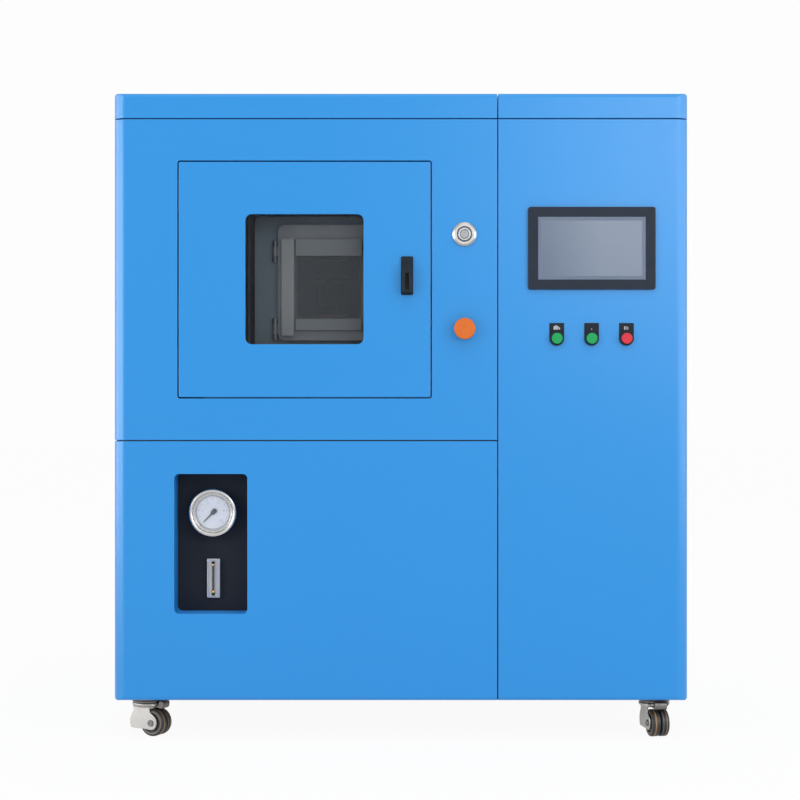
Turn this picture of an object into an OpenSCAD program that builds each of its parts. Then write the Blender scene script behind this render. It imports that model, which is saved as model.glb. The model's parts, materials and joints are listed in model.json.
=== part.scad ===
// Spark plasma sintering furnace: a sheet metal cabinet on casters with a vacuum chamber and
// a hydraulic press behind a hinged door, and a control section on the right.
// Millimetres. +X is to the right, +Y to the back, +Z up. The origin is on the floor, in the middle.

/* [Cabinet] */
// Width over the side panels
cabinet_w = 1180; // [1150:10:1300]
// Depth from the front panels to the rear panels
cabinet_d = 800; // [780:10:1000]
// Height of the cabinet above its casters
cabinet_h = 1245; // [1235:5:1300]
// Height of the casters under the cabinet
caster_h = 80; // [78:1:90]
// Width of the control section on the right
control_w = 391.6; // [370:1:400]
// Height of the lower front panel
lower_h = 533; // [520:1:545]
// Height of the rim of the top covers
cover_h = 52; // [40:1:60]
// Thickness of the sheet metal
sheet_t = 2.5; // [2:0.1:3]
// Radius of the four upright corners
corner_r = 26; // [20:1:30]
// Radius of the top and bottom edges
edge_r = 8; // [5:1:10]
// Width of the seams between panels
seam = 2.5; // [2:0.1:4]
// Distance from the outside of the panels to the frame
frame_inset = 12.5; // [11:0.5:14]
// How far the front and rear panels wrap onto the sides
wrap_d = 45; // [38:1:55]

/* [Frame] */
// Width of the square frame tubes
tube_w = 40; // [36:1:45]
// Wall of the frame tubes
tube_t = 3; // [2:0.5:5]
// Thickness of the floor plate
floor_t = 4; // [3:0.5:6]

/* [Furnace door] */
// Width of the furnace door
door_w = 516; // [500:1:530]
// Height of the furnace door
door_h = 482; // [470:1:500]
// Distance from the left side of the cabinet to the door
door_from_left = 134.5; // [125:1:145]
// Distance from the seam under the door to the door
door_above_seam = 89.3; // [80:1:100]
// Gap all round the door
door_gap = 3; // [2.6:0.1:4]
// Radius of the door's corners
door_r = 3; // [1:0.5:6]
// Depth of the door's folded edges
door_fold = 22; // [20:1:24]
// Depth of the folded edges of the door opening
jamb_d = 38; // [36:1:44]
// Width of the stop lip round the door opening
lip_w = 12; // [8:1:14]
// Width of the door window
window_w = 243; // [220:1:260]
// Height of the door window
window_h = 267; // [240:1:280]
// Distance from the door's left edge to its window
window_from_left = 136; // [120:1:150]
// Distance from the door's lower edge to its window
window_from_bottom = 108.3; // [95:1:115]
// Radius of the window's corners
window_r = 14; // [8:1:18]
// How far the window pane reaches past its opening
pane_lap = 14; // [10:1:18]
// Thickness of the window pane
pane_t = 5; // [4:0.5:6]
// Thickness of the window seal
seal_t = 2; // [1:0.5:3]
// Distance from the door's left edge to its hinge axis
hinge_in = 20; // [19:0.5:21]
// Distance from the door's front to its hinge axis
hinge_back = 9; // [9:0.25:9.5]
// Radius of the door hinge sleeves
sleeve_r = 6; // [5.5:0.1:6.2]
// Radius of the door hinge pins
hinge_pin_r = 4; // [3:0.25:4.5]
// Length of a door hinge sleeve
sleeve_l = 40; // [30:1:60]

/* [Latch] */
// Distance from the door's right edge to the latch axis
latch_from_right = 48; // [44:1:52]
// Height of the latch axis above the door's lower edge
latch_up = 260.7; // [240:1:280]
// Width of the latch base
latch_base_w = 25; // [22:0.5:28]
// Height of the latch base
latch_base_h = 79; // [70:1:90]
// Thickness of the latch base
latch_base_t = 4; // [3:0.5:5]
// Width of the latch lever
lever_w = 20; // [17:0.5:21]
// Length of the latch lever from its axis to its tip
lever_l = 48; // [40:1:55]
// Thickness of the latch lever
lever_t = 15; // [10:0.5:17]
// Radius of the latch shaft
latch_shaft_r = 6; // [5:0.25:7]
// Length of the latch cam from its axis
cam_l = 47; // [43:0.5:48]
// Thickness of the latch cam
cam_t = 4; // [3:0.5:5]

/* [Vacuum chamber] */
// Distance from the door's left edge to the chamber's middle
chamber_from_left = 304.5; // [295:1:310]
// Height of the chamber's middle above the door's lower edge
chamber_up = 240.2; // [235:1:245]
// Distance from the front panels to the chamber's front flange
chamber_back = 110; // [105:1:125]
// Outside width of the chamber
chamber_w = 280; // [260:1:290]
// Outside depth of the chamber behind its flange
chamber_d = 280; // [270:1:300]
// Outside height of the chamber
chamber_h = 251; // [245:1:260]
// Wall of the chamber
chamber_t = 12; // [10:1:16]
// Width of the chamber's front flange
flange_w = 314; // [305:1:320]
// Height of the chamber's front flange
flange_h = 281; // [275:1:290]
// Thickness of the chamber's front flange
flange_t = 15; // [12:1:20]
// Width of the chamber's mouth
mouth_w = 170; // [160:1:180]
// Height of the chamber's mouth
mouth_h = 180; // [170:1:190]
// Width of the chamber door
plate_w = 214; // [205:1:220]
// Height of the chamber door
plate_h = 243; // [235:1:248]
// Thickness of the chamber door
plate_t = 18; // [14:1:22]
// Width of the viewport
view_w = 138; // [130:1:145]
// Height of the viewport
view_h = 132; // [120:1:140]
// How far the viewport lies below the chamber's middle
view_drop = 10.5; // [5:0.5:12]
// Thickness of the viewport glass
view_t = 6; // [4:0.5:10]
// Width of the upright clamp bars
clamp_w = 26; // [20:1:28]
// Thickness of the clamp bars
clamp_t = 10; // [8:0.5:12]
// Radius of the chamber door's hinge knuckles
knuckle_r = 6; // [5:0.25:7]
// Radius of the chamber door's hinge pins
knuckle_pin_r = 3; // [2:0.25:3.5]

/* [Press] */
// Distance between the tie rods across the cabinet
tie_x = 380; // [372:1:400]
// Distance between the tie rods from front to back
tie_y = 200; // [190:1:220]
// Radius of the tie rods
tie_r = 16; // [12:0.5:20]
// Thickness of the crossheads
crosshead_t = 50; // [40:1:60]
// Height between the two crossheads
daylight = 400; // [390:1:410]
// Height of the short posts that carry the chamber
chamber_post_h = 77; // [75:1:85]
// Radius of the ram
ram_r = 40; // [34:0.5:44]
// Stroke of the ram
ram_stroke = 30; // [20:1:30]
// Radius of the electrodes
electrode_r = 38; // [30:0.5:42]
// Radius of the graphite die
die_r = 30; // [25:0.5:36]
// Height of the graphite die
die_h = 50; // [40:1:56]
// Radius of the graphite punches
punch_r = 12; // [8:0.5:15]
// Height of a graphite spacer
spacer_h = 10; // [8:0.5:12]
// Radius of the hydraulic cylinder
cylinder_r = 75; // [65:1:85]
// Height of the hydraulic cylinder
cylinder_h = 150; // [140:1:160]

/* [Machinery] */
// Width of the hydraulic unit's tank
tank_w = 260; // [200:5:300]
// Depth of the hydraulic unit's tank
tank_d = 220; // [180:5:260]
// Height of the hydraulic unit's tank
tank_h = 190; // [150:5:220]
// Radius of the hydraulic unit's motor
motor_r = 62; // [50:1:75]
// Length of the vacuum pump
pump_l = 330; // [300:5:360]
// Radius of the vacuum pump's motor
pump_r = 65; // [50:1:75]
// Radius of the vacuum line
line_r = 20; // [15:1:25]
// Height of the pulse power supply
supply_h = 400; // [350:5:440]
// Width of the pulse power supply
supply_w = 300; // [250:5:320]
// Depth of the pulse power supply
supply_d = 480; // [400:5:520]
// Radius of the cooling fan's opening
fan_r = 72; // [60:1:85]
// Depth of the cooling fan
fan_d = 38; // [30:1:50]
// Reach of the water and gas fittings behind the rear panel
fitting_l = 24; // [20:1:30]
// Radius of the water tubes
water_r = 6; // [4:0.5:8]
// Radius of the entry for the supply cable
gland_r = 14; // [10:0.5:18]

/* [Front controls] */
// Distance of the two single buttons from the control seam
single_from_seam = 68.4; // [60:1:75]
// Height of the metal push button above the seam under the door
metal_up = 423; // [400:1:440]
// Radius of the metal push button's bezel
metal_bezel_r = 24.5; // [22:0.5:28]
// Radius of the metal push button's cap
metal_cap_r = 13; // [11:0.5:15]
// Travel of the metal push button
metal_travel = 3; // [2:0.25:3.5]
// Height of the mushroom button above the seam under the door
mushroom_up = 229; // [200:1:250]
// Radius of the mushroom head
mushroom_r = 21.8; // [19:0.2:25]
// Reach of the mushroom head in front of the panel
mushroom_reach = 24; // [22:0.5:26]
// Travel of the mushroom button
mushroom_travel = 5; // [3:0.5:6]
// Distance from the control seam to the screen
screen_from_seam = 62; // [55:1:70]
// Height of the screen's lower edge above the floor
screen_z = 922.4; // [900:1:940]
// Width of the screen housing
screen_w = 260.7; // [250:1:275]
// Height of the screen housing
screen_h = 169.2; // [160:1:180]
// Reach of the screen housing in front of the panel
screen_t = 6; // [4:0.5:9]
// Depth of the screen housing behind the panel
screen_d = 45; // [35:1:55]
// Width of the border round the screen
screen_border = 20; // [16:0.5:22]
// Distance from the control seam to the first push button
button_from_seam = 120.8; // [110:1:130]
// Distance between the push buttons
button_pitch = 71.4; // [64:0.2:76]
// Height of the push buttons above the floor
button_z = 822.5; // [800:1:830]
// Radius of a push button's cap
cap_r = 11; // [9:0.25:11.5]
// Radius of a push button's bezel
bezel_r = 14.5; // [13:0.25:14.8]
// Travel of a push button
cap_travel = 4; // [3:0.25:4.5]
// Width of a legend plate
legend_w = 30; // [30:0.5:34]
// Height of a legend plate above the button's middle
legend_up = 31.5; // [25:0.5:36]
// Thickness of a legend plate
legend_t = 1.5; // [1:0.1:2]
// Radius of a button's barrel in the panel
barrel_r = 11; // [10.5:0.1:11.1]

/* [Gauge recess] */
// Distance from the cabinet's left side to the recess
recess_from_left = 125.2; // [118:1:135]
// Height of the recess above the cabinet's lower edge
recess_up = 177.7; // [165:1:190]
// Width of the recess
recess_w = 150; // [140:1:160]
// Height of the recess
recess_h = 287; // [280:1:300]
// Depth of the recess
recess_d = 65; // [55:1:75]
// Radius of the recess's corners
recess_r = 10; // [6:1:12]
// Radius of the gauge case
gauge_r = 50; // [45:0.5:55]
// Radius of the gauge dial
dial_r = 41; // [36:0.5:42]
// Depth of the gauge in front of its plate
gauge_d = 30; // [24:0.5:36]
// Height of the gauge's middle above the recess's lower edge
gauge_up = 205; // [200:1:212]
// Length of the gauge pointer from its axis
pointer_l = 27; // [22:0.5:32]
// Angle of the gauge pointer at zero, from straight down
pointer_zero = -45; // [-50:1:-40]
// Width of the level gauge
level_w = 27; // [22:0.5:32]
// Height of the level gauge
level_h = 81; // [70:1:90]
// Height of the level gauge's middle above the recess's lower edge
level_up = 68; // [60:1:75]

/* [Casters] */
// Distance from the sides of the cabinet to the casters
caster_in = 63; // [60:1:70]
// Width of a caster's square plate
caster_plate_w = 78; // [72:1:84]
// Thickness of a caster's plate
caster_plate_t = 3; // [2.5:0.5:4]
// Radius of a caster's ball race
race_r = 32; // [28:0.5:34]
// Height of a caster's ball race
race_h = 7; // [5:0.5:8]
// Radius of a caster's wheel
wheel_r = 28; // [25:0.5:30]
// Width of a caster's wheel
wheel_w = 36; // [30:0.5:40]
// Offset of a caster's wheel from its swivel axis
trail = 20; // [16:0.5:24]
// Thickness of a caster's fork
fork_t = 3; // [2.5:0.5:4]
// Radius of a caster's axle
axle_r = 5; // [4:0.25:6]
// Radius of a caster's kingpin
kingpin_r = 6; // [5:0.25:8]
// Swivel angles of the casters: front left, front right, rear left, rear right
caster_turn = [-25, -78, 30, -40];
// Travel of a caster's brake pedal
pedal_travel = 10; // [6:1:12]

/* [Fits] */
// Gap beside a pin or shaft that turns or slides in its bore
fit_gap = 0.05; // [0.03:0.01:0.08]
// Gap between pieces of different bodies
clear_gap = 0.3; // [0.25:0.05:0.4]
// Gap between cut tubes where they meet
weld_gap = 0.1; // [0.05:0.05:0.2]

/* [Hidden] */
$fn = 48;
far = 3000;

// Places of the cabinet
front_y = -cabinet_d / 2;
back_y = cabinet_d / 2;
left_x = -cabinet_w / 2;
right_x = cabinet_w / 2;
bottom_z = caster_h;
top_z = caster_h + cabinet_h;
cover_z = top_z - cover_h;
split_z = caster_h + lower_h;
split_x = right_x - control_w;
half_seam = seam / 2;
frame_x = right_x - frame_inset;
frame_y = back_y - frame_inset;
frame_z = cover_z + half_seam;
floor_z = bottom_z + tube_w + floor_t;

// Places of the furnace door
door_x = left_x + door_from_left;
door_z = split_z + door_above_seam;
hinge_x = door_x + hinge_in;
hinge_y = front_y + hinge_back;
sleeve_z = [door_z + 45, door_z + door_h - 45 - sleeve_l];
bracket_from = 3;
bracket_to = 12;
window_x = door_x + window_from_left;
window_z = door_z + window_from_bottom;
latch_x = door_x + door_w - latch_from_right;
latch_z = door_z + latch_up;
skin_y = front_y + sheet_t;

// Places of the chamber and the press
chamber_x = door_x + chamber_from_left;
chamber_z = door_z + chamber_up;
flange_y = front_y + chamber_back;
box_y = flange_y + flange_t;
press_y = box_y + chamber_d / 2;
plate_y = flange_y - clear_gap - plate_t;
knuckle_x = chamber_x - plate_w / 2 - knuckle_r - 0.5;
knuckle_y = plate_y + plate_t / 2;
view_z = chamber_z - view_drop;
chamber_floor = chamber_z - chamber_h / 2;
lower_head_z = chamber_floor - chamber_post_h - crosshead_t;
upper_head_z = lower_head_z + crosshead_t + daylight;
ram_top = chamber_floor - ram_stroke - 14;
ram_foot = lower_head_z - cylinder_h + 40;
stack_z = chamber_floor + chamber_t + 51;
stack_h = 2 * spacer_h + die_h + 20;
upper_face_z = stack_z + stack_h + ram_stroke + clear_gap;
insulator_t = 12;

// Places of the controls
single_x = split_x - single_from_seam;
screen_x = split_x + screen_from_seam;
button_x = split_x + button_from_seam;
recess_x = left_x + recess_from_left;
recess_z = bottom_z + recess_up;
instrument_y = front_y + recess_d;
gauge_x = recess_x + recess_w / 2;
gauge_z = recess_z + gauge_up;
level_z = recess_z + level_up;
fan_x = split_x + control_w / 2;
fan_z = cover_z - 150;
swivel_x = right_x - caster_in;
swivel_y = back_y - caster_in;
wheel_z = wheel_r;
crown_z = bottom_z - caster_plate_t - race_h - clear_gap - fork_t;
fork_in = wheel_w / 2 + clear_gap * 2;

// A block between two corners
module block(low, high) {
    translate(low) cube(high - low);
}

// A rectangle with round corners, from x0 to x1 and y0 to y1
module round_rect(x0, y0, x1, y1, r) {
    translate([x0 + r, y0]) square([x1 - x0 - 2 * r, y1 - y0]);
    translate([x0, y0 + r]) square([x1 - x0, y1 - y0 - 2 * r]);
    for (x = [x0 + r, x1 - r], y = [y0 + r, y1 - r]) translate([x, y]) circle(r);
}

// An upright drawing, with X across and Z up, made thick from y0 back to y1
module upright(y0, y1) {
    translate([0, y1, 0]) rotate([90, 0, 0]) linear_extrude(y1 - y0) children();
}

// A round bar from y0 back to y1
module bar_y(r, x, z, y0, y1) {
    translate([x, y0, z]) rotate([-90, 0, 0]) cylinder(r = r, h = y1 - y0);
}

// A round bar from z0 up to z1
module bar_z(r, x, y, z0, z1) {
    translate([x, y, z0]) cylinder(r = r, h = z1 - z0);
}

// The outside form of the cabinet, drawn in by a distance on every side
module cabinet_form(inset) {
    x = right_x - inset;
    y = back_y - inset;
    r = edge_r - min(inset, edge_r - 1);
    intersection() {
        translate([0, 0, bottom_z]) linear_extrude(cabinet_h)
            round_rect(-x, -y, x, y, corner_r - min(inset, corner_r - 1));
        upright(-y - 1, y + 1) round_rect(-x, bottom_z + inset, x, top_z - inset, r);
        rotate([0, 0, 90]) upright(-x - 1, x + 1)
            round_rect(-y, bottom_z + inset, y, top_z - inset, r);
    }
}

// A folded panel: the cabinet's skin between two corners, with edges folded in to the frame
module panel(low, high) {
    edge = [sheet_t, sheet_t, sheet_t];
    difference() {
        intersection() {
            cabinet_form(0);
            block(low, high);
        }
        intersection() {
            cabinet_form(sheet_t);
            block(low + edge, high - edge);
        }
        block([-frame_x, -frame_y, bottom_z - 1], [frame_x, frame_y, cover_z]);
    }
}

// A row of slots through an upright panel
module louvres(x0, x1, z0, count, y0, y1) {
    slot_h = 6;
    for (i = [0:count - 1]) upright(y0, y1)
        round_rect(x0, z0 + i * 3 * slot_h, x1, z0 + i * 3 * slot_h + slot_h, slot_h / 2 - 0.01);
}

// A square tube along Z
module tube(length) {
    linear_extrude(length) difference() {
        square(tube_w);
        translate([tube_t, tube_t]) square(tube_w - 2 * tube_t);
    }
}

// A tube along X and a tube along Y, each from its lowest corner
module tube_x(length) {
    multmatrix([[0, 0, 1, 0], [1, 0, 0, 0], [0, 1, 0, 0], [0, 0, 0, 1]]) tube(length);
}
module tube_y(length) {
    multmatrix([[0, 1, 0, 0], [0, 0, 1, 0], [1, 0, 0, 0], [0, 0, 0, 1]]) tube(length);
}

module cabinet_frame() {
    post_z = bottom_z + tube_w + weld_gap;
    post_h = frame_z - tube_w - weld_gap - post_z;
    middle_x = split_x - tube_w / 2;
    side_y = frame_y - tube_w - weld_gap;
    cross_x = -frame_x + tube_w + weld_gap;
    color("dimgray") {
        for (x = [-frame_x, middle_x, frame_x - tube_w], y = [-frame_y, frame_y - tube_w])
            translate([x, y, post_z]) tube(post_h);
        for (y = [-frame_y, frame_y - tube_w], z = [bottom_z, frame_z - tube_w])
            translate([-frame_x, y, z]) tube_x(2 * frame_x);
        for (x = [-frame_x, middle_x, frame_x - tube_w], z = [bottom_z, frame_z - tube_w])
            translate([x, -side_y, z]) tube_y(2 * side_y);
        for (y = [-frame_y, frame_y - tube_w])
            translate([cross_x, y, split_z - tube_w / 2]) tube_x(middle_x - weld_gap - cross_x);
    }
}

// The floor plate with notches for the posts
module floor_plate() {
    notch = tube_w + 1;
    difference() {
        block([-frame_x, -frame_y, bottom_z + tube_w], [frame_x, frame_y, floor_z]);
        for (x = [-frame_x - 1, frame_x - notch], y = [-frame_y - 1, frame_y - notch])
            translate([x, y, bottom_z]) cube([notch + 1, notch + 1, far]);
        for (y = [-frame_y - 1, frame_y - notch])
            translate([split_x - tube_w / 2 - 1, y, bottom_z]) cube([tube_w + 2, notch + 1, far]);
    }
}

// The wall between the furnace and the control section, with an opening for the bus bar
module divider_wall() {
    x = split_x - tube_w / 2;
    difference() {
        block([x - sheet_t, -frame_y + tube_w, floor_z + weld_gap],
              [x, frame_y - tube_w, frame_z - tube_w]);
        block([x - far, press_y - 60, upper_head_z - 30], [x + far, press_y + 60, upper_head_z + 20]);
    }
}

module inner_sheets() {
    color("darkgray") {
        floor_plate();
        divider_wall();
    }
}

// A top cover: the whole cap of the cabinet between two places across, open underneath
module top_cover(x0, x1) {
    low = [x0, front_y - 1, cover_z + half_seam];
    high = [x1, back_y + 1, top_z + 1];
    rest = frame_inset + tube_w / 2;
    color([0.25, 0.6, 0.9]) difference() {
        intersection() {
            cabinet_form(0);
            block(low, high);
        }
        intersection() {
            cabinet_form(sheet_t);
            block(low + [sheet_t, 0, sheet_t], high - [sheet_t, 0, 0]);
        }
        block([max(x0 + rest, left_x + rest), front_y + rest, cover_z - 1],
              [min(x1 - rest, right_x - rest), back_y - rest, cover_z + cover_h / 2]);
    }
}

module top_cover_left() {
    top_cover(left_x - sheet_t, split_x - half_seam);
}

module top_cover_right() {
    top_cover(split_x + half_seam, right_x + sheet_t);
}

// The folded edges of an opening in a front panel
module jamb(x0, z0, x1, z1, r, depth) {
    upright(front_y, front_y + depth) difference() {
        round_rect(x0 - sheet_t, z0 - sheet_t, x1 + sheet_t, z1 + sheet_t, r + sheet_t);
        round_rect(x0, z0, x1, z1, r);
    }
}

module upper_front_panel() {
    g = door_gap;
    x0 = door_x - g;
    z0 = door_z - g;
    x1 = door_x + door_w + g;
    z1 = door_z + door_h + g;
    lip_y = front_y + door_fold + clear_gap;
    lip_x = hinge_x + 30;
    color([0.25, 0.6, 0.9]) {
        difference() {
            panel([left_x - sheet_t, front_y - sheet_t, split_z + half_seam],
                  [split_x - half_seam, front_y + wrap_d, cover_z - half_seam]);
            upright(front_y - 1, skin_y + 1) round_rect(x0, z0, x1, z1, door_r + g);
            bar_y(barrel_r + clear_gap, single_x, split_z + metal_up, front_y - 1, skin_y + 1);
            bar_y(barrel_r + clear_gap, single_x, split_z + mushroom_up, front_y - 1, skin_y + 1);
        }
        jamb(x0, z0, x1, z1, door_r + g, jamb_d);
        upright(lip_y, lip_y + sheet_t) difference() {
            translate([lip_x, z0 - sheet_t / 2]) square([x1 - lip_x + sheet_t / 2, z1 - z0 + sheet_t]);
            translate([lip_x - 1, z0 + lip_w]) square([x1 - lip_x + 1 - lip_w, z1 - z0 - 2 * lip_w]);
        }
    }
}

module lower_front_panel() {
    x1 = recess_x + recess_w;
    z1 = recess_z + recess_h;
    color([0.25, 0.6, 0.9]) {
        difference() {
            panel([left_x - sheet_t, front_y - sheet_t, bottom_z - sheet_t],
                  [split_x - half_seam, front_y + wrap_d, split_z - half_seam]);
            upright(front_y - 1, skin_y + 1) round_rect(recess_x, recess_z, x1, z1, recess_r);
        }
        jamb(recess_x, recess_z, x1, z1, recess_r, recess_d);
    }
}

module control_front_panel() {
    hole = clear_gap + 2;
    color([0.25, 0.6, 0.9]) difference() {
        panel([split_x + half_seam, front_y - sheet_t, bottom_z - sheet_t],
              [right_x + sheet_t, front_y + wrap_d, cover_z - half_seam]);
        upright(front_y - 1, skin_y + 1)
            translate([screen_x + screen_border / 2 - hole, screen_z + screen_border / 2 - hole])
                square([screen_w - screen_border + 2 * hole, screen_h - screen_border + 2 * hole]);
        for (i = [0:2])
            bar_y(barrel_r + clear_gap, button_x + i * button_pitch, button_z, front_y - 1, skin_y + 1);
    }
}

module side_panels() {
    y = back_y - wrap_d - seam;
    color([0.25, 0.6, 0.9]) {
        panel([left_x - sheet_t, -y, bottom_z - sheet_t], [-frame_x + 5, y, cover_z - half_seam]);
        panel([frame_x - 5, -y, bottom_z - sheet_t], [right_x + sheet_t, y, cover_z - half_seam]);
    }
}

module rear_panels() {
    y0 = back_y - sheet_t - 1;
    y1 = back_y + 1;
    low_slot = bottom_z + 150;
    color([0.25, 0.6, 0.9]) difference() {
        union() {
            panel([left_x - sheet_t, back_y - wrap_d, bottom_z - sheet_t],
                  [split_x - half_seam, back_y + sheet_t, cover_z - half_seam]);
            panel([split_x + half_seam, back_y - wrap_d, bottom_z - sheet_t],
                  [right_x + sheet_t, back_y + sheet_t, cover_z - half_seam]);
        }
        louvres(left_x + 150, split_x - 150, low_slot, 9, y0, y1);
        louvres(split_x + 80, right_x - 80, low_slot, 9, y0, y1);
        bar_y(fan_r, fan_x, fan_z, y0, y1);
        bar_y(gland_r + 1, fan_x, gland_z, y0, y1);
        for (i = [0:2]) bar_y(water_r + clear_gap, fitting_x(i), fitting_z, y0, y1);
    }
}

// The door window's outline, drawn out by a distance
module window_outline(out) {
    round_rect(window_x - out, window_z - out, window_x + window_w + out, window_z + window_h + out,
               max(window_r + out, 1));
}

module furnace_door() {
    x1 = door_x + door_w;
    z1 = door_z + door_h;
    fold_x = hinge_x + 20;
    frame_lap = pane_lap + 12;
    pane_back = skin_y + seal_t + pane_t;
    frame_t = 3;
    color([0.25, 0.6, 0.9]) difference() {
        union() {
            upright(front_y, skin_y) difference() {
                round_rect(door_x, door_z, x1, z1, door_r);
                window_outline(0);
            }
            upright(skin_y - 0.5, front_y + door_fold) difference() {
                round_rect(fold_x, door_z, x1, z1, door_r);
                translate([fold_x + sheet_t, door_z + sheet_t])
                    square([x1 - fold_x - 2 * sheet_t, door_h - 2 * sheet_t]);
            }
            upright(skin_y - 0.5, pane_back) difference() {
                window_outline(frame_lap);
                window_outline(pane_lap + clear_gap);
            }
            upright(pane_back, pane_back + frame_t) difference() {
                window_outline(frame_lap);
                window_outline(0);
            }
            for (z = sleeve_z) {
                bar_z(sleeve_r, hinge_x, hinge_y, z, z + sleeve_l);
                block([hinge_x - 4, skin_y - 0.5, z], [hinge_x + 4, hinge_y, z + sleeve_l]);
            }
        }
        for (z = sleeve_z)
            bar_z(hinge_pin_r + fit_gap, hinge_x, hinge_y, z - 1, z + sleeve_l + 1);
        bar_y(latch_shaft_r + fit_gap, latch_x, latch_z, front_y - 1, skin_y + 1);
    }
}

module window_seal() {
    color("black") upright(skin_y, skin_y + seal_t) difference() {
        window_outline(pane_lap);
        window_outline(0);
    }
}

module window_glass() {
    color([0.5, 0.7, 0.8, 0.4]) upright(skin_y + seal_t, skin_y + seal_t + pane_t)
        window_outline(pane_lap);
}

// Fixed brackets with the pins on which the door's sleeves turn
module door_hinge_pins() {
    boss_h = 12;
    plate_y1 = front_y + jamb_d;
    color("silver") for (z = sleeve_z) {
        low = z - clear_gap - boss_h;
        high = z + sleeve_l + clear_gap;
        bar_z(hinge_pin_r, hinge_x, hinge_y, low, high + boss_h);
        for (b = [low, high]) {
            bar_z(sleeve_r, hinge_x, hinge_y, b, b + boss_h);
            block([hinge_x + bracket_from, hinge_y, b], [hinge_x + bracket_to, plate_y1, b + boss_h]);
        }
        block([door_x - door_gap, plate_y1 - 5, low], [hinge_x + bracket_to, plate_y1, high + boss_h]);
    }
}

module latch_base() {
    over = 27.4;
    color("black") difference() {
        upright(front_y - latch_base_t, front_y)
            round_rect(latch_x - latch_base_w / 2, latch_z + over - latch_base_h,
                       latch_x + latch_base_w / 2, latch_z + over, 3);
        bar_y(latch_shaft_r + fit_gap, latch_x, latch_z, front_y - far, front_y + 1);
    }
}

// The latch lever with its shaft through the door and the cam behind it
module latch_lever() {
    r = lever_w / 2;
    lever_y = front_y - latch_base_t - clear_gap;
    cam_y = front_y + door_fold + sheet_t + 2;
    cam_r = 8;
    scoop_r = 4.2;
    color([0.15, 0.15, 0.17]) {
        difference() {
            union() {
                upright(lever_y - lever_t, lever_y) {
                    translate([latch_x, latch_z]) circle(r);
                    round_rect(latch_x - r, latch_z - lever_l, latch_x + r, latch_z, 2.5);
                    translate([latch_x - r, latch_z - r]) square([lever_w, r]);
                }
                bar_y(latch_shaft_r, latch_x, latch_z, lever_y - 1, cam_y + cam_t);
            }
            translate([latch_x, lever_y - lever_t, latch_z - lever_l + 6]) rotate([-4, 0, 0])
                cylinder(r = scoop_r, h = lever_l - 14);
            translate([0, lever_y - lever_t, latch_z - lever_l]) rotate([20, 0, 0])
                block([latch_x - far, -12, -30], [latch_x + far, 0, 14]);
        }
        upright(cam_y, cam_y + cam_t)
            round_rect(latch_x - cam_r, latch_z - cam_l, latch_x + cam_r, latch_z + cam_r + 1, cam_r - 0.2);
        translate([latch_x, cam_y + cam_t, latch_z]) rotate([-90, 0, 0]) cylinder(r = 9, h = 5, $fn = 6);
    }
}

// Heights of the chamber door's hinge knuckles
knuckle_h = 20;
knuckle_z = [chamber_z - 97 - knuckle_h / 2, chamber_z + 66 - knuckle_h / 2];

module vacuum_chamber() {
    x0 = chamber_x - chamber_w / 2;
    x1 = chamber_x + chamber_w / 2;
    back = box_y + chamber_d;
    top = chamber_floor + chamber_h;
    seat = electrode_r + fit_gap;
    end_h = 12;
    color([0.75, 0.77, 0.8]) difference() {
        union() {
            difference() {
                block([x0, box_y, chamber_floor], [x1, back, top]);
                block([x0 + chamber_t, box_y - 1, chamber_floor + chamber_t],
                      [x1 - chamber_t, back - chamber_t, top - chamber_t]);
            }
            upright(flange_y, box_y) round_rect(chamber_x - flange_w / 2, chamber_z - flange_h / 2,
                chamber_x + flange_w / 2, chamber_z + flange_h / 2, 14);
            bar_z(electrode_r + 12, chamber_x, press_y, chamber_floor - 8, chamber_floor + chamber_t + 8);
            bar_z(electrode_r + 12, chamber_x, press_y, top - chamber_t - 8, top + 8);
            bar_y(line_r + 12, chamber_x, chamber_z, back - 1, back + 12);
            for (z = knuckle_z, e = [z - clear_gap - end_h, z + knuckle_h + clear_gap]) {
                bar_z(knuckle_r, knuckle_x, knuckle_y, e, e + end_h);
                block([knuckle_x - 4, knuckle_y, e], [knuckle_x + 4, flange_y + 1, e + end_h]);
            }
            for (z = knuckle_z)
                bar_z(knuckle_pin_r, knuckle_x, knuckle_y, z - end_h, z + knuckle_h + end_h);
        }
        upright(flange_y - 1, box_y + 1) round_rect(chamber_x - mouth_w / 2, chamber_z - mouth_h / 2,
            chamber_x + mouth_w / 2, chamber_z + mouth_h / 2, 12);
        bar_z(seat, chamber_x, press_y, chamber_floor - 20, chamber_floor + chamber_t + 20);
        bar_z(seat, chamber_x, press_y, top - chamber_t - 20, top + 20);
        bar_y(line_r - 3, chamber_x, chamber_z, back - chamber_t - 1, back + 20);
    }
}

module chamber_door() {
    lap = 4;
    color([0.5, 0.55, 0.62]) difference() {
        union() {
            upright(plate_y, plate_y + plate_t) difference() {
                round_rect(chamber_x - plate_w / 2, chamber_z - plate_h / 2,
                           chamber_x + plate_w / 2, chamber_z + plate_h / 2, 16);
                translate([chamber_x - view_w / 2 + lap, view_z - view_h / 2 + lap])
                    square([view_w - 2 * lap, view_h - 2 * lap]);
            }
            for (z = knuckle_z) {
                bar_z(knuckle_r, knuckle_x, knuckle_y, z, z + knuckle_h);
                block([knuckle_x, knuckle_y - 4, z],
                      [chamber_x - plate_w / 2 + 1, knuckle_y + 4, z + knuckle_h]);
            }
        }
        for (z = knuckle_z)
            bar_z(knuckle_pin_r + fit_gap, knuckle_x, knuckle_y, z - 1, z + knuckle_h + 1);
    }
}

module viewport_glass() {
    x = view_w / 2 - clear_gap;
    z = view_h / 2 - clear_gap;
    color([0.3, 0.35, 0.4, 0.5]) block([chamber_x - x, plate_y - view_t, view_z - z],
                                       [chamber_x + x, plate_y, view_z + z]);
}

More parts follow.
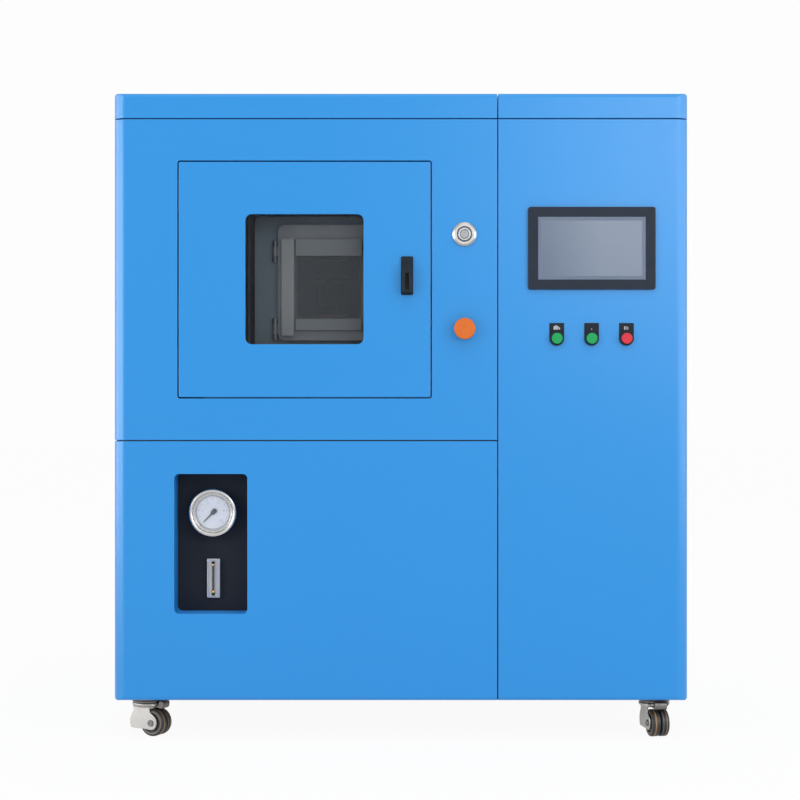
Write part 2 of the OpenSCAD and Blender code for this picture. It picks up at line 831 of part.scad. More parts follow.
module viewport_clamps() {
    gap = 4;
    side_h = 203;
    x0 = chamber_x - view_w / 2;
    x1 = chamber_x + view_w / 2;
    color([0.45, 0.5, 0.56]) upright(plate_y - clamp_t, plate_y) {
        round_rect(x0 - gap - clamp_w, view_z - side_h / 2, x0 - gap, view_z + side_h / 2, 3);
        round_rect(x1 + gap, view_z - side_h / 2, x1 + gap + clamp_w, view_z + side_h / 2, 3);
        round_rect(x0, view_z + view_h / 2, x1, view_z + side_h / 2, 3);
        round_rect(x0, view_z - view_h / 2 - 24, x1, view_z - view_h / 2, 3);
    }
}

// Two crossheads, the tubes that carry them and the posts under the chamber
module press_frame() {
    x = tie_x / 2 + 40;
    y = tie_y / 2 + 30;
    leg_x = tie_x / 2 + 10;
    leg_y = tie_y / 2 - 10;
    color([0.3, 0.33, 0.38]) {
        for (z = [lower_head_z, upper_head_z]) difference() {
            block([chamber_x - x, press_y - y, z], [chamber_x + x, press_y + y, z + crosshead_t]);
            for (sx = [-1, 1], sy = [-1, 1])
                bar_z(tie_r + fit_gap, chamber_x + sx * tie_x / 2, press_y + sy * tie_y / 2,
                      z - 1, z + crosshead_t + 1);
            if (z == lower_head_z)
                bar_z(ram_r + 5, chamber_x, press_y, z - 1, z + crosshead_t + 1);
        }
        for (sx = [-1, 1], sy = [-1, 1]) {
            translate([chamber_x + sx * leg_x - tube_w / 2, press_y + sy * leg_y - tube_w - 5 * sy, floor_z])
                tube(lower_head_z - floor_z - weld_gap);
            bar_z(12, chamber_x + sx * 110, press_y + sy * 100,
                  lower_head_z + crosshead_t + weld_gap, chamber_floor);
        }
    }
}

// Tie rods with their nuts against both crossheads
module tie_rods() {
    nut_h = 20;
    nut_r = tie_r + 12;
    color("silver") for (sx = [-1, 1], sy = [-1, 1])
        translate([chamber_x + sx * tie_x / 2, press_y + sy * tie_y / 2, 0]) {
            translate([0, 0, lower_head_z + crosshead_t]) cylinder(r = nut_r, h = nut_h, $fn = 6);
            translate([0, 0, upper_head_z + crosshead_t]) cylinder(r = nut_r, h = nut_h, $fn = 6);
            translate([0, 0, upper_head_z - nut_h]) cylinder(r = nut_r, h = nut_h, $fn = 6);
            translate([0, 0, lower_head_z + 5])
                cylinder(r = tie_r, h = upper_head_z - lower_head_z + crosshead_t + nut_h);
        }
}

module hydraulic_cylinder() {
    foot = lower_head_z - cylinder_h;
    color([0.2, 0.25, 0.3]) difference() {
        union() {
            bar_z(cylinder_r, chamber_x, press_y, foot, lower_head_z);
            bar_z(cylinder_r + 15, chamber_x, press_y, lower_head_z - 18, lower_head_z);
            bar_z(cylinder_r + 6, chamber_x, press_y, foot, foot + 22);
        }
        bar_z(ram_r + fit_gap, chamber_x, press_y, foot + 25, lower_head_z + 1);
    }
}

module press_ram() {
    color("silver") bar_z(ram_r, chamber_x, press_y, ram_foot, ram_top);
}

module lower_electrode() {
    color([0.72, 0.45, 0.3]) bar_z(electrode_r, chamber_x, press_y, ram_top, stack_z);
}

module upper_insulator() {
    color("white") bar_z(62, chamber_x, press_y, upper_head_z - insulator_t, upper_head_z);
}

// The upper electrode with the bus bar that brings its current
module upper_electrode() {
    top = upper_head_z - insulator_t;
    bus_t = 10;
    bus_w = 50;
    bus_x = split_x + 50;
    bus_z = top - bus_t;
    color([0.72, 0.45, 0.3]) {
        bar_z(electrode_r, chamber_x, press_y, upper_face_z, top);
        bar_z(55, chamber_x, press_y, bus_z, top);
        block([chamber_x, press_y - bus_w / 2, bus_z], [bus_x + bus_t, press_y + bus_w / 2, top]);
        block([bus_x, press_y - bus_w / 2, floor_z + supply_h], [bus_x + bus_t, press_y + bus_w / 2, top]);
    }
}

// The graphite die, the two punches with the powder between them, and their spacers
module graphite_die_set() {
    low = stack_z + spacer_h;
    die_z = low + 10;
    high = stack_z + stack_h - spacer_h;
    powder_z = die_z + die_h / 2 - 3;
    color([0.16, 0.16, 0.17]) {
        bar_z(electrode_r - 4, chamber_x, press_y, stack_z, low);
        bar_z(electrode_r - 4, chamber_x, press_y, high, stack_z + stack_h);
        bar_z(punch_r, chamber_x, press_y, low, powder_z);
        bar_z(punch_r, chamber_x, press_y, powder_z, powder_z + 6);
        bar_z(punch_r, chamber_x, press_y, powder_z + 6, high);
        difference() {
            bar_z(die_r, chamber_x, press_y, die_z, die_z + die_h);
            bar_z(punch_r + fit_gap, chamber_x, press_y, die_z - 1, die_z + die_h + 1);
        }
    }
}

// The oil tank, the motor on it, the valve block and the pipe to the cylinder
module hydraulic_unit() {
    top = floor_z + tank_h;
    pipe_x = chamber_x + cylinder_r + 30;
    pipe_z = lower_head_z - cylinder_h / 2;
    color([0.35, 0.38, 0.42]) {
        difference() {
            block([chamber_x - tank_w / 2, press_y - tank_d / 2, floor_z],
                  [chamber_x + tank_w / 2, press_y + tank_d / 2, top]);
            block([chamber_x - tank_w / 2 + 4, press_y - tank_d / 2 + 4, floor_z - 1],
                  [chamber_x + tank_w / 2 - 4, press_y + tank_d / 2 - 4, top - 4]);
        }
        bar_z(motor_r + 12, chamber_x - 40, press_y, top, top + 12);
        bar_z(motor_r, chamber_x - 40, press_y, top + 12, top + 150);
        for (a = [0:20:340]) translate([chamber_x - 40, press_y, top + 30]) rotate([0, 0, a])
            block([motor_r - 2, -2, 0], [motor_r + 6, 2, 105]);
        block([pipe_x - 32, press_y - 40, top], [pipe_x + 20, press_y + 40, top + 60]);
        bar_z(7, pipe_x, press_y, top + 60, pipe_z);
        translate([pipe_x, press_y, pipe_z]) sphere(r = 9);
        translate([chamber_x + cylinder_r, press_y, pipe_z]) rotate([0, 90, 0])
            cylinder(r = 7, h = pipe_x - chamber_x - cylinder_r);
    }
}

// The pump with its motor, and the line from the chamber down to it
module vacuum_pump() {
    y = 190;
    axis_z = floor_z + pump_r + 15;
    x0 = chamber_x - pump_l / 2;
    mid = chamber_x + 15;
    bend_r = 50;
    start = box_y + chamber_d + 12;
    color([0.4, 0.45, 0.55]) {
        translate([mid, y, axis_z]) rotate([0, 90, 0]) cylinder(r = pump_r, h = pump_l / 2 - 15);
        for (a = [0:30:330]) translate([mid + 20, y, axis_z]) rotate([a, 0, 0])
            block([0, pump_r - 2, -2], [pump_l / 2 - 50, pump_r + 6, 2]);
        block([x0, y - 70, floor_z + 10], [mid, y + 70, floor_z + 190]);
        for (x = [x0 + 20, x0 + pump_l - 60])
            block([x, y - 60, floor_z], [x + 40, y + 60, floor_z + 16]);
    }
    color("silver") {
        bar_y(line_r, chamber_x, chamber_z, start, y - bend_r);
        translate([chamber_x, y - bend_r, chamber_z - bend_r]) rotate([90, 0, 90])
            rotate_extrude(angle = 90) translate([bend_r, 0]) circle(line_r);
        bar_z(line_r, chamber_x, y, floor_z + 190, chamber_z - bend_r);
        bar_z(line_r + 12, chamber_x, y, floor_z + 190, floor_z + 200);
    }
}

// The power supply's case, open underneath, with its cooling fins
module power_supply() {
    x0 = fan_x - supply_w / 2;
    x1 = fan_x + supply_w / 2;
    y0 = -supply_d / 2 - 40;
    y1 = supply_d / 2 - 40;
    top = floor_z + supply_h;
    wall = 3;
    color([0.6, 0.62, 0.65]) {
        difference() {
            block([x0, y0, floor_z], [x1, y1, top]);
            block([x0 + wall, y0 + wall, floor_z - 1], [x1 - wall, y1 - wall, top - wall]);
            for (i = [0:9]) block([x0 + 40, y0 - 1, floor_z + 60 + i * 18],
                                  [x1 - 40, y0 + wall + 1, floor_z + 66 + i * 18]);
        }
        for (x = [x0 + 90:12:x1 - 20]) block([x, y0 + 60, top], [x + 3, y1 - 60, top + 30]);
    }
}

// Sizes that the fan's frame and its rotor share
fan_hub_r = 28;
fan_pin_r = 4;
fan_arm_t = 6;

// The fan's frame behind the rear panel, its motor arms, and the wire guard outside
module fan_guard() {
    y1 = back_y - sheet_t;
    y0 = y1 - fan_d;
    side = fan_r + 8;
    wire = 1.5;
    color([0.2, 0.2, 0.22]) {
        difference() {
            block([fan_x - side, y0, fan_z - side], [fan_x + side, y1, fan_z + side]);
            bar_y(fan_r, fan_x, fan_z, y0 - 1, y1 + 1);
        }
        bar_y(fan_hub_r, fan_x, fan_z, y0 + 1, y0 + fan_arm_t);
        bar_y(fan_pin_r, fan_x, fan_z, y0 + 2, y1 - 4);
        for (a = [40:90:310]) translate([fan_x, y0, fan_z]) rotate([0, a, 0])
            block([fan_hub_r - 4, 2, -4], [fan_r + 2, fan_arm_t - 1, 4]);
    }
    color("silver") upright(back_y, back_y + 2 * wire) translate([fan_x, fan_z]) {
        for (r = [16:12:fan_r + 6]) difference() {
            circle(r + wire);
            circle(r - wire);
        }
        for (a = [0:90:270]) rotate(a) translate([14, -wire]) square([fan_r - 8, 2 * wire]);
    }
}

module fan_rotor() {
    y1 = back_y - sheet_t - 6;
    y0 = back_y - sheet_t - fan_d + fan_arm_t + clear_gap;
    hub_r = fan_hub_r - 1;
    blade_r = fan_r - 2;
    color([0.1, 0.1, 0.12]) difference() {
        union() {
            bar_y(hub_r, fan_x, fan_z, y0, y1);
            intersection() {
                for (a = [0:51.43:330]) translate([fan_x, (y0 + y1) / 2, fan_z]) rotate([0, a, 0])
                    rotate([35, 0, 0]) block([hub_r - 2, -1.2, -18], [blade_r + 2, 1.2, 18]);
                bar_y(blade_r, fan_x, fan_z, y0, y1);
            }
        }
        bar_y(fan_pin_r + fit_gap, fan_x, fan_z, y0 - 1, y1 + 1);
    }
}

// Places of the water and gas fittings on the rear panel
fitting_z = split_z + 120;
function fitting_x(i) = chamber_x - 160 + i * 60;
gland_z = bottom_z + 95;

// Tube ends for cooling water in and out and for gas, and the entry for the supply cable
module rear_fittings() {
    inside = 30;
    hex_r = water_r + 6;
    color("goldenrod") for (i = [0:2]) {
        bar_y(water_r, fitting_x(i), fitting_z, back_y - inside, back_y + fitting_l);
        translate([fitting_x(i), back_y, fitting_z]) rotate([-90, 0, 0])
            cylinder(r = hex_r, h = 6, $fn = 6);
    }
    color("black") difference() {
        translate([fan_x, back_y, gland_z]) rotate([-90, 0, 0]) cylinder(r = gland_r + 8, h = 18, $fn = 6);
        bar_y(gland_r, fan_x, gland_z, back_y - 1, back_y + 30);
    }
}

// The mounting plate of the control section with its rails of switchgear
module control_backplate() {
    x0 = split_x - tube_w / 2;
    x1 = right_x - 60;
    y = 120;
    z0 = floor_z + supply_h + 60;
    row_h = 190;
    color([0.85, 0.86, 0.88]) {
        block([x0, y, z0], [x1, y + 3, cover_z - 60]);
        for (i = [0:2]) block([x0 + 40, y - 7, z0 + 90 + i * row_h], [x1 - 20, y, z0 + 125 + i * row_h]);
    }
    color([0.3, 0.32, 0.35]) for (i = [0:2], k = [0:4])
        block([x0 + 50 + k * 56, y - 75, z0 + 60 + i * row_h],
              [x0 + 50 + k * 56 + 50, y - 7, z0 + 155 + i * row_h]);
}

module touchscreen_housing() {
    face = front_y - screen_t;
    b = screen_border;
    color([0.21, 0.24, 0.28]) difference() {
        union() {
            upright(face, front_y)
                round_rect(screen_x, screen_z, screen_x + screen_w, screen_z + screen_h, 5);
            block([screen_x + b / 2, front_y - 1, screen_z + b / 2],
                  [screen_x + screen_w - b / 2, front_y + screen_d, screen_z + screen_h - b / 2]);
        }
        block([screen_x + b, face - 1, screen_z + b],
              [screen_x + screen_w - b, face + 2, screen_z + screen_h - b]);
    }
}

module touchscreen_glass() {
    face = front_y - screen_t;
    b = screen_border + clear_gap;
    color([0.55, 0.59, 0.66]) block([screen_x + b, face + 0.3, screen_z + b],
        [screen_x + screen_w - b, face + 2, screen_z + screen_h - b]);
}

// Sizes that the push buttons share
collar_t = 7;
cap_proud = 3;
stem_r = 5;
barrel_l = 30;
base_r = 15;
base_t = 6;
head_t = 11;
neck_r = 8;

// The plate round a push button: square above, round below
module legend_plate(x) {
    w = legend_w / 2;
    upright(front_y - legend_t, front_y) difference() {
        union() {
            translate([x, button_z]) circle(w);
            round_rect(x - w, button_z - 2, x + w, button_z + legend_up, 1.5);
        }
        translate([x, button_z]) circle(barrel_r + clear_gap);
    }
}

// The bezel of a push button with its barrel through the panel
module button_bezel(x) {
    back = front_y - legend_t;
    difference() {
        union() {
            bar_y(bezel_r, x, button_z, back - collar_t, back);
            bar_y(barrel_r, x, button_z, back - 1, front_y + barrel_l);
        }
        bar_y(cap_r + clear_gap, x, button_z, back - collar_t - 1, back);
        bar_y(stem_r + fit_gap, x, button_z, back - 1, front_y + barrel_l + 1);
    }
}

module legend_plates() {
    color("black") for (i = [0:2]) legend_plate(button_x + i * button_pitch);
}

module button_bezels() {
    color([0.1, 0.1, 0.1]) {
        for (i = [0:2]) button_bezel(button_x + i * button_pitch);
        difference() {
            union() {
                bar_y(base_r, single_x, split_z + mushroom_up, front_y - base_t, front_y);
                bar_y(barrel_r, single_x, split_z + mushroom_up, front_y - 1, front_y + barrel_l);
            }
            bar_y(neck_r + fit_gap, single_x, split_z + mushroom_up, front_y - far, front_y + far);
        }
    }
}

// A push button's cap with its stem
module button_cap(i) {
    x = button_x + i * button_pitch;
    face = front_y - legend_t - collar_t - cap_proud;
    bar_y(cap_r, x, button_z, face, front_y - legend_t - cap_travel - clear_gap);
    bar_y(stem_r, x, button_z, face + 1, front_y + barrel_l - 4);
}

module left_button_cap() {
    color([0.13, 0.65, 0.4]) button_cap(0);
}

module middle_button_cap() {
    color([0.13, 0.65, 0.4]) button_cap(1);
}

module right_button_cap() {
    color([0.82, 0.25, 0.3]) button_cap(2);
}

module metal_button_bezel() {
    z = split_z + metal_up;
    depth = 7;
    color("silver") difference() {
        union() {
            translate([single_x, front_y, z]) rotate([90, 0, 0]) rotate_extrude() polygon([
                [0, 0], [metal_bezel_r, 0], [metal_bezel_r, depth - 3],
                [metal_bezel_r - 4, depth], [0, depth]]);
            bar_y(barrel_r, single_x, z, front_y - 1, front_y + barrel_l);
        }
        bar_y(metal_cap_r + clear_gap + 3, single_x, z, front_y - depth - 1, front_y - depth + 2);
        bar_y(metal_cap_r + clear_gap, single_x, z, front_y - depth - 1, front_y - 1);
        bar_y(stem_r + fit_gap, single_x, z, front_y - 2, front_y + far);
    }
}

module metal_button_cap() {
    z = split_z + metal_up;
    face = front_y - 7.5;
    color("silver") {
        difference() {
            bar_y(metal_cap_r, single_x, z, face, front_y - 1 - metal_travel - clear_gap);
            bar_y(9.6, single_x, z, face - 1, face + 1);
        }
        bar_y(8.7, single_x, z, face - 0.3, face + 2);
        bar_y(stem_r, single_x, z, face + 2, front_y + barrel_l - 4);
    }
}

module mushroom_button() {
    z = split_z + mushroom_up;
    bevel = 2;
    color([0.88, 0.47, 0.21]) {
        translate([single_x, front_y - mushroom_reach, z]) rotate([-90, 0, 0]) rotate_extrude() polygon([
            [0, 0], [mushroom_r - bevel, 0], [mushroom_r, bevel], [mushroom_r, head_t - 3],
            [neck_r + 4, head_t], [0, head_t]]);
        bar_y(neck_r, single_x, z, front_y - mushroom_reach + head_t - 1, front_y + barrel_l - 8);
    }
}

module instrument_plate() {
    color([0.2, 0.22, 0.25]) difference() {
        block([recess_x - sheet_t, instrument_y, recess_z - sheet_t],
              [recess_x + recess_w + sheet_t, instrument_y + 3, recess_z + recess_h + sheet_t]);
        bar_y(8 + clear_gap, gauge_x, gauge_z, instrument_y - 1, instrument_y + 4);
    }
}

// The round gauge case with its dial and the stud that carries the pointer
module gauge_case() {
    face = instrument_y - gauge_d;
    dial_y = face + 13;
    bevel = 5;
    rim = 9;
    color("silver") {
        difference() {
            translate([gauge_x, face, gauge_z]) rotate([-90, 0, 0]) rotate_extrude() polygon([
                [0, 0], [gauge_r - bevel, 0], [gauge_r, bevel], [gauge_r, bevel + 6],
                [gauge_r - 3, bevel + 7], [gauge_r - 3, gauge_d], [0, gauge_d]]);
            bar_y(dial_r, gauge_x, gauge_z, face - 1, face + 5);
            bar_y(gauge_r - rim - 3, gauge_x, gauge_z, face, dial_y);
        }
        bar_y(8, gauge_x, gauge_z, instrument_y - 1, instrument_y + 40);
        bar_y(1.5, gauge_x, gauge_z, dial_y - 5, dial_y + 1);
    }
}

module gauge_pointer() {
    y1 = instrument_y - gauge_d + 13 - 1;
    y0 = y1 - 1.5;
    color("black") translate([gauge_x, 0, gauge_z]) rotate([0, -pointer_zero, 0]) difference() {
        union() {
            bar_y(4, 0, 0, y0 - 1, y1);
            upright(y0, y1) polygon([[-2, 9], [2, 9], [0.7, -pointer_l], [-0.7, -pointer_l]]);
        }
        bar_y(1.5 + fit_gap, 0, 0, y0 - 2, y1 + 1);
    }
}

module gauge_lens() {
    face = instrument_y - gauge_d;
    color([0.8, 0.9, 1, 0.3]) bar_y(dial_r - clear_gap, gauge_x, gauge_z, face + 1.5, face + 5);
}

// A level gauge: a plate with an upright sight tube between two round ends
module level_gauge() {
    y = instrument_y;
    end_up = level_h / 2 - 11;
    color([0.66, 0.67, 0.7]) {
        upright(y - 8, y) round_rect(gauge_x - level_w / 2, level_z - level_h / 2,
                                     gauge_x + level_w / 2, level_z + level_h / 2, 3);
        for (s = [-1, 1]) {
            bar_y(7, gauge_x, level_z + s * end_up, y - 16, y - 8);
            translate([gauge_x, y - 16, level_z + s * end_up]) sphere(r = 7);
        }
        bar_z(2.5, gauge_x, y - 14, level_z - end_up, level_z + end_up);
    }
}

// Places of the four casters, in the order front left, front right, rear left, rear right
function caster_at(i) = [(i % 2 == 0 ? -1 : 1) * swivel_x, (i < 2 ? -1 : 1) * swivel_y, 0];

// The fixed top of each caster: plate, ball race and kingpin
module caster_plates() {
    w = caster_plate_w / 2;
    plate_z = bottom_z - caster_plate_t;
    head_t = 3;
    color("silver") for (i = [0:3]) translate(caster_at(i)) {
        block([-w, -w, plate_z], [w, w, bottom_z]);
        translate([0, 0, plate_z - race_h]) cylinder(r = race_r, h = race_h);
        bar_z(kingpin_r, 0, 0, crown_z - clear_gap - head_t, plate_z);
        bar_z(kingpin_r + 3, 0, 0, crown_z - clear_gap - head_t, crown_z - clear_gap);
    }
}

// Places on a fork, measured from its swivel axis along the trail
pedal_x = trail + 4;
pedal_z = crown_z - 5;
pedal_pin_r = 2.5;

// A caster's fork with its axle
module fork(i) {
    top = crown_z + fork_t;
    crown_r = race_r - 4;
    side_r = wheel_r / 2;
    out = fork_in + fork_t;
    color([0.7, 0.7, 0.68]) translate(caster_at(i)) rotate([0, 0, caster_turn[i]]) {
        difference() {
            union() {
                intersection() {
                    bar_z(crown_r + 4, 0, 0, crown_z, top);
                    block([-crown_r, -out, crown_z], [crown_r + 4, out, top]);
                }
                for (s = [-1, 1]) translate([0, s * (fork_in + fork_t / 2), 0])
                    upright(-fork_t / 2, fork_t / 2) {
                        translate([trail, wheel_z]) circle(side_r);
                        polygon([[-18, top], [crown_r + 2, top], [trail + side_r, wheel_z],
                                 [trail, wheel_z - side_r], [trail - side_r - 4, wheel_z - side_r],
                                 [-18, crown_z - 8]]);
                    }
            }
            bar_z(kingpin_r + fit_gap, 0, 0, 0, far);
        }
        bar_y(axle_r, trail, wheel_z, -out - 2, out + 2);
        for (y = [-out - 5, out]) translate([trail, y, wheel_z]) rotate([-90, 0, 0])
            cylinder(r = axle_r + 3, h = 5, $fn = 6);
        if (i < 2) bar_y(pedal_pin_r, pedal_x, pedal_z, -out, out);
    }
}

module front_left_fork() {
    fork(0);
}

module front_right_fork() {
    fork(1);
}

module rear_left_fork() {
    fork(2);
}

module rear_right_fork() {
    fork(3);
}

// A wheel with two grooves round its tread and a hollow in each face
module wheel(i) {
    w = wheel_w / 2;
    r = wheel_r;
    color([0.1, 0.1, 0.11]) translate(caster_at(i)) rotate([0, 0, caster_turn[i]])
        translate([trail, 0, wheel_z]) rotate([90, 0, 0]) difference() {
            rotate_extrude() polygon([
                [axle_r + fit_gap, -w], [r * 0.5, -w], [r * 0.55, 4 - w], [r * 0.75, 4 - w],
                [r * 0.8, -w], [r - 3, -w], [r, 3 - w], [r, -w * 0.4], [r - 3, -w * 0.35],
                [r - 3, -w * 0.25], [r, -w * 0.2], [r, w * 0.2], [r - 3, w * 0.25],
                [r - 3, w * 0.35], [r, w * 0.4], [r, w - 3], [r - 3, w], [r * 0.8, w],
                [r * 0.75, w - 4], [r * 0.55, w - 4], [r * 0.5, w], [axle_r + fit_gap, w]]);
        }
}

module front_left_wheel() {
    wheel(0);
}

module front_right_wheel() {
    wheel(1);
}

module rear_left_wheel() {
    wheel(2);
}

module rear_right_wheel() {
    wheel(3);
}

// A brake pedal that turns on a pin through the fork
module pedal(i) {
    w = wheel_w / 2 - 3;
    pad_t = 3;
    reach = 32;
    color([0.1, 0.1, 0.1]) translate(caster_at(i)) rotate([0, 0, caster_turn[i]]) difference() {
        union() {
            bar_y(pedal_pin_r + 1.5, pedal_x, pedal_z, -w, w);
            block([pedal_x, -w, pedal_z - pad_t / 2], [pedal_x + reach, w, pedal_z + pad_t / 2]);
        }
        bar_y(pedal_pin_r + fit_gap, pedal_x, pedal_z, -w - 1, w + 1);
    }
}

module left_brake_pedal() {
    pedal(0);
}

module right_brake_pedal() {
    pedal(1);
}

cabinet_frame();
inner_sheets();
top_cover_left();
top_cover_right();
upper_front_panel();
lower_front_panel();
control_front_panel();
side_panels();
rear_panels();
furnace_door();
window_seal();
window_glass();
door_hinge_pins();
latch_base();
latch_lever();
vacuum_chamber();
chamber_door();
viewport_glass();
viewport_clamps();
press_frame();
tie_rods();
hydraulic_cylinder();
press_ram();
lower_electrode();
upper_electrode();
upper_insulator();
graphite_die_set();
hydraulic_unit();
vacuum_pump();
power_supply();
fan_guard();
fan_rotor();
rear_fittings();
control_backplate();
touchscreen_housing();
touchscreen_glass();
legend_plates();
button_bezels();
left_button_cap();
middle_button_cap();
right_button_cap();
metal_button_bezel();
metal_button_cap();
mushroom_button();
instrument_plate();
gauge_case();
gauge_pointer();
gauge_lens();
level_gauge();
caster_plates();
front_left_fork();
front_right_fork();
rear_left_fork();
rear_right_fork();
front_left_wheel();
front_right_wheel();
rear_left_wheel();
rear_right_wheel();
left_brake_pedal();
right_brake_pedal();
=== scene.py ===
import json
import math

import bmesh
import bpy
from mathutils import Matrix, Vector


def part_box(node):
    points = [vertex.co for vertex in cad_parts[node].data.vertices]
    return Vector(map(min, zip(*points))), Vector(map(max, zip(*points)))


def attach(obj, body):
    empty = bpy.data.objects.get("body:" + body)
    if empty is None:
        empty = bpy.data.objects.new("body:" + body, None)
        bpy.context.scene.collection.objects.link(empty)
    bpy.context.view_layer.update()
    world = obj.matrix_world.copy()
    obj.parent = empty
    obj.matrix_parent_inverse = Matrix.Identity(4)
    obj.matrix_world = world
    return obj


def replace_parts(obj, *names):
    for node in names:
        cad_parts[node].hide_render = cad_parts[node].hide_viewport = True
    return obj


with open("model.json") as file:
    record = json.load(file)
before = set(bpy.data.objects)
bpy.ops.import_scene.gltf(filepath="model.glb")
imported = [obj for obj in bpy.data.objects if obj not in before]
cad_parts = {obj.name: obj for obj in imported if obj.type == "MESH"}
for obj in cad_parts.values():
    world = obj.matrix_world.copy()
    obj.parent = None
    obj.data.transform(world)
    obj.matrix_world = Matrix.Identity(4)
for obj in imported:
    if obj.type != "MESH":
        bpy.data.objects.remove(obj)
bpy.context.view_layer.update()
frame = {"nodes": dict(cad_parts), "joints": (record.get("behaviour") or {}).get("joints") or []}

MM = 0.001
FRONT = (0, -1, 0)
BACK = (0, 1, 0)
UP = (0, 0, 1)
DOWN = (0, 0, -1)
WHEELS = ["front_left", "front_right", "rear_left", "rear_right"]
nodes = frame["nodes"]


def srgb(r, g, b):
    """A colour written as the sRGB value that it renders as, in linear light."""
    def channel(v):
        v = v / 255.0
        return v / 12.92 if v <= 0.04045 else ((v + 0.055) / 1.055) ** 2.4
    return (channel(r), channel(g), channel(b), 1.0)


def shade(colour, factor):
    """A colour made lighter or darker by a factor."""
    return tuple(min(1.0, c * factor) for c in colour[:3]) + (1.0,)


def middle(node):
    """The middle of a node's box."""
    low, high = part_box(node)
    return (low + high) / 2


class Shader:
    """A material with a Principled shader, and short calls for the nodes that feed it."""

    def __init__(self, name, **values):
        self.material = bpy.data.materials.new(name)
        self.material.use_nodes = True
        self.tree = self.material.node_tree
        self.principled = self.tree.nodes["Principled BSDF"]
        self.rounded = None
        for key, value in values.items():
            self.principled.inputs[key.replace("_", " ")].default_value = value

    def node(self, kind, **settings):
        """A new node with its settings."""
        n = self.tree.nodes.new(kind)
        for key, value in settings.items():
            setattr(n, key, value)
        return n

    def link(self, a, b):
        self.tree.links.new(a, b)

    def place(self, scale=(1, 1, 1)):
        """Object coordinates, stretched."""
        coordinates = self.node("ShaderNodeTexCoord")
        mapping = self.node("ShaderNodeMapping")
        mapping.inputs["Scale"].default_value = scale
        self.link(coordinates.outputs["Object"], mapping.inputs["Vector"])
        return mapping.outputs["Vector"]

    def axis(self, name):
        """One coordinate of the object's space."""
        split = self.node("ShaderNodeSeparateXYZ")
        self.link(self.place(), split.inputs["Vector"])
        return split.outputs[name]

    def noise(self, vector, scale, detail=3.0, rough=0.5):
        """A value from 0 to 1 that varies over a vector."""
        n = self.node("ShaderNodeTexNoise")
        n.inputs["Scale"].default_value = scale
        n.inputs["Detail"].default_value = detail
        n.inputs["Roughness"].default_value = rough
        self.link(vector, n.inputs["Vector"])
        return n.outputs["Fac"]

    def math(self, operation, one, other):
        """A sum or difference of numbers or sockets, kept within 0 to 1."""
        n = self.node("ShaderNodeMath", operation=operation, use_clamp=True)
        for value, socket in ((one, n.inputs[0]), (other, n.inputs[1])):
            if isinstance(value, (int, float)):
                socket.default_value = value
            else:
                self.link(value, socket)
        return n.outputs["Value"]

    def span(self, value, low, high, first=0.3, last=0.7):
        """Maps a value from first..last to low..high."""
        n = self.node("ShaderNodeMapRange")
        n.inputs["From Min"].default_value = first
        n.inputs["From Max"].default_value = last
        n.inputs["To Min"].default_value = low
        n.inputs["To Max"].default_value = high
        self.link(value, n.inputs["Value"])
        return n.outputs["Result"]

    def blend(self, value, one, other):
        """A colour between two, by a value from 0 to 1."""
        n = self.node("ShaderNodeMix", data_type="RGBA")
        for colour, socket in ((one, n.inputs["A"]), (other, n.inputs["B"])):
            if isinstance(colour, tuple):
                socket.default_value = colour
            else:
                self.link(colour, socket)
        self.link(value, n.inputs["Factor"])
        return n.outputs["Result"]

    def colour(self, value, one, other):
        """Sets the base colour, between two by a value."""
        self.link(self.blend(value, one, other), self.principled.inputs["Base Color"])

    def roughness(self, value, low, high):
        """Sets the roughness, from low to high by a noise."""
        self.link(self.span(value, low, high), self.principled.inputs["Roughness"])

    def round_edges(self, radius):
        """Rounds the edges by a radius, in the normal alone."""
        self.rounded = self.node("ShaderNodeBevel", samples=6)
        self.rounded.inputs["Radius"].default_value = radius

    def edge_mask(self, first=0.02, last=0.25):
        """1 on edges and 0 on flat stretches, from how far the rounded normal leans away. It places
        the light or shade painted on edges.
        """
        geometry = self.node("ShaderNodeNewGeometry")
        dot = self.node("ShaderNodeVectorMath", operation="DOT_PRODUCT")
        self.link(self.rounded.outputs["Normal"], dot.inputs[0])
        self.link(geometry.outputs["Normal"], dot.inputs[1])
        return self.span(self.math("SUBTRACT", 1.0, dot.outputs["Value"]), 0.0, 1.0, first, last)

    def dust(self, amount):
        """A value up to an amount on what faces up, for the dust that dulls it."""
        split = self.node("ShaderNodeSeparateXYZ")
        self.link(self.node("ShaderNodeNewGeometry").outputs["Normal"], split.inputs["Vector"])
        return self.span(split.outputs["Z"], 0.0, amount, 0.8, 0.98)

    def bump(self, value, strength, distance):
        """Fine relief, over the rounded edges where there are any."""
        n = self.node("ShaderNodeBump")
        n.inputs["Strength"].default_value = strength
        n.inputs["Distance"].default_value = distance
        self.link(value, n.inputs["Height"])
        if self.rounded:
            self.link(self.rounded.outputs["Normal"], n.inputs["Normal"])
        self.link(n.outputs["Normal"], self.principled.inputs["Normal"])


def paint(name, colour, rough=0.3, peel=0.02, spread=0.008, painted_edge_light=1.25, specular=0.5):
    """Powder coat: a fine peel, faint clouds of colour, dust, and a painted highlight on folded
    edges.
    """
    s = Shader(name, Specular_IOR_Level=specular)
    s.round_edges(1.4 * MM)
    vector = s.place()
    clouds = s.span(s.noise(vector, 2.2, 2.0), 0.0, 1.0)
    base = s.blend(clouds, shade(colour, 1 - spread), shade(colour, 1 + spread))
    # Painted highlight: the colour is made lighter on the folded edges.
    s.colour(s.edge_mask(), base, shade(colour, painted_edge_light))
    coat = s.span(s.noise(vector, 35.0, 2.0), rough - 0.015, rough + 0.02)
    s.link(s.math("ADD", coat, s.dust(0.45)), s.principled.inputs["Roughness"])
    s.bump(s.noise(vector, 700.0, 2.0, 0.6), peel, 0.4 * MM)
    return s.material


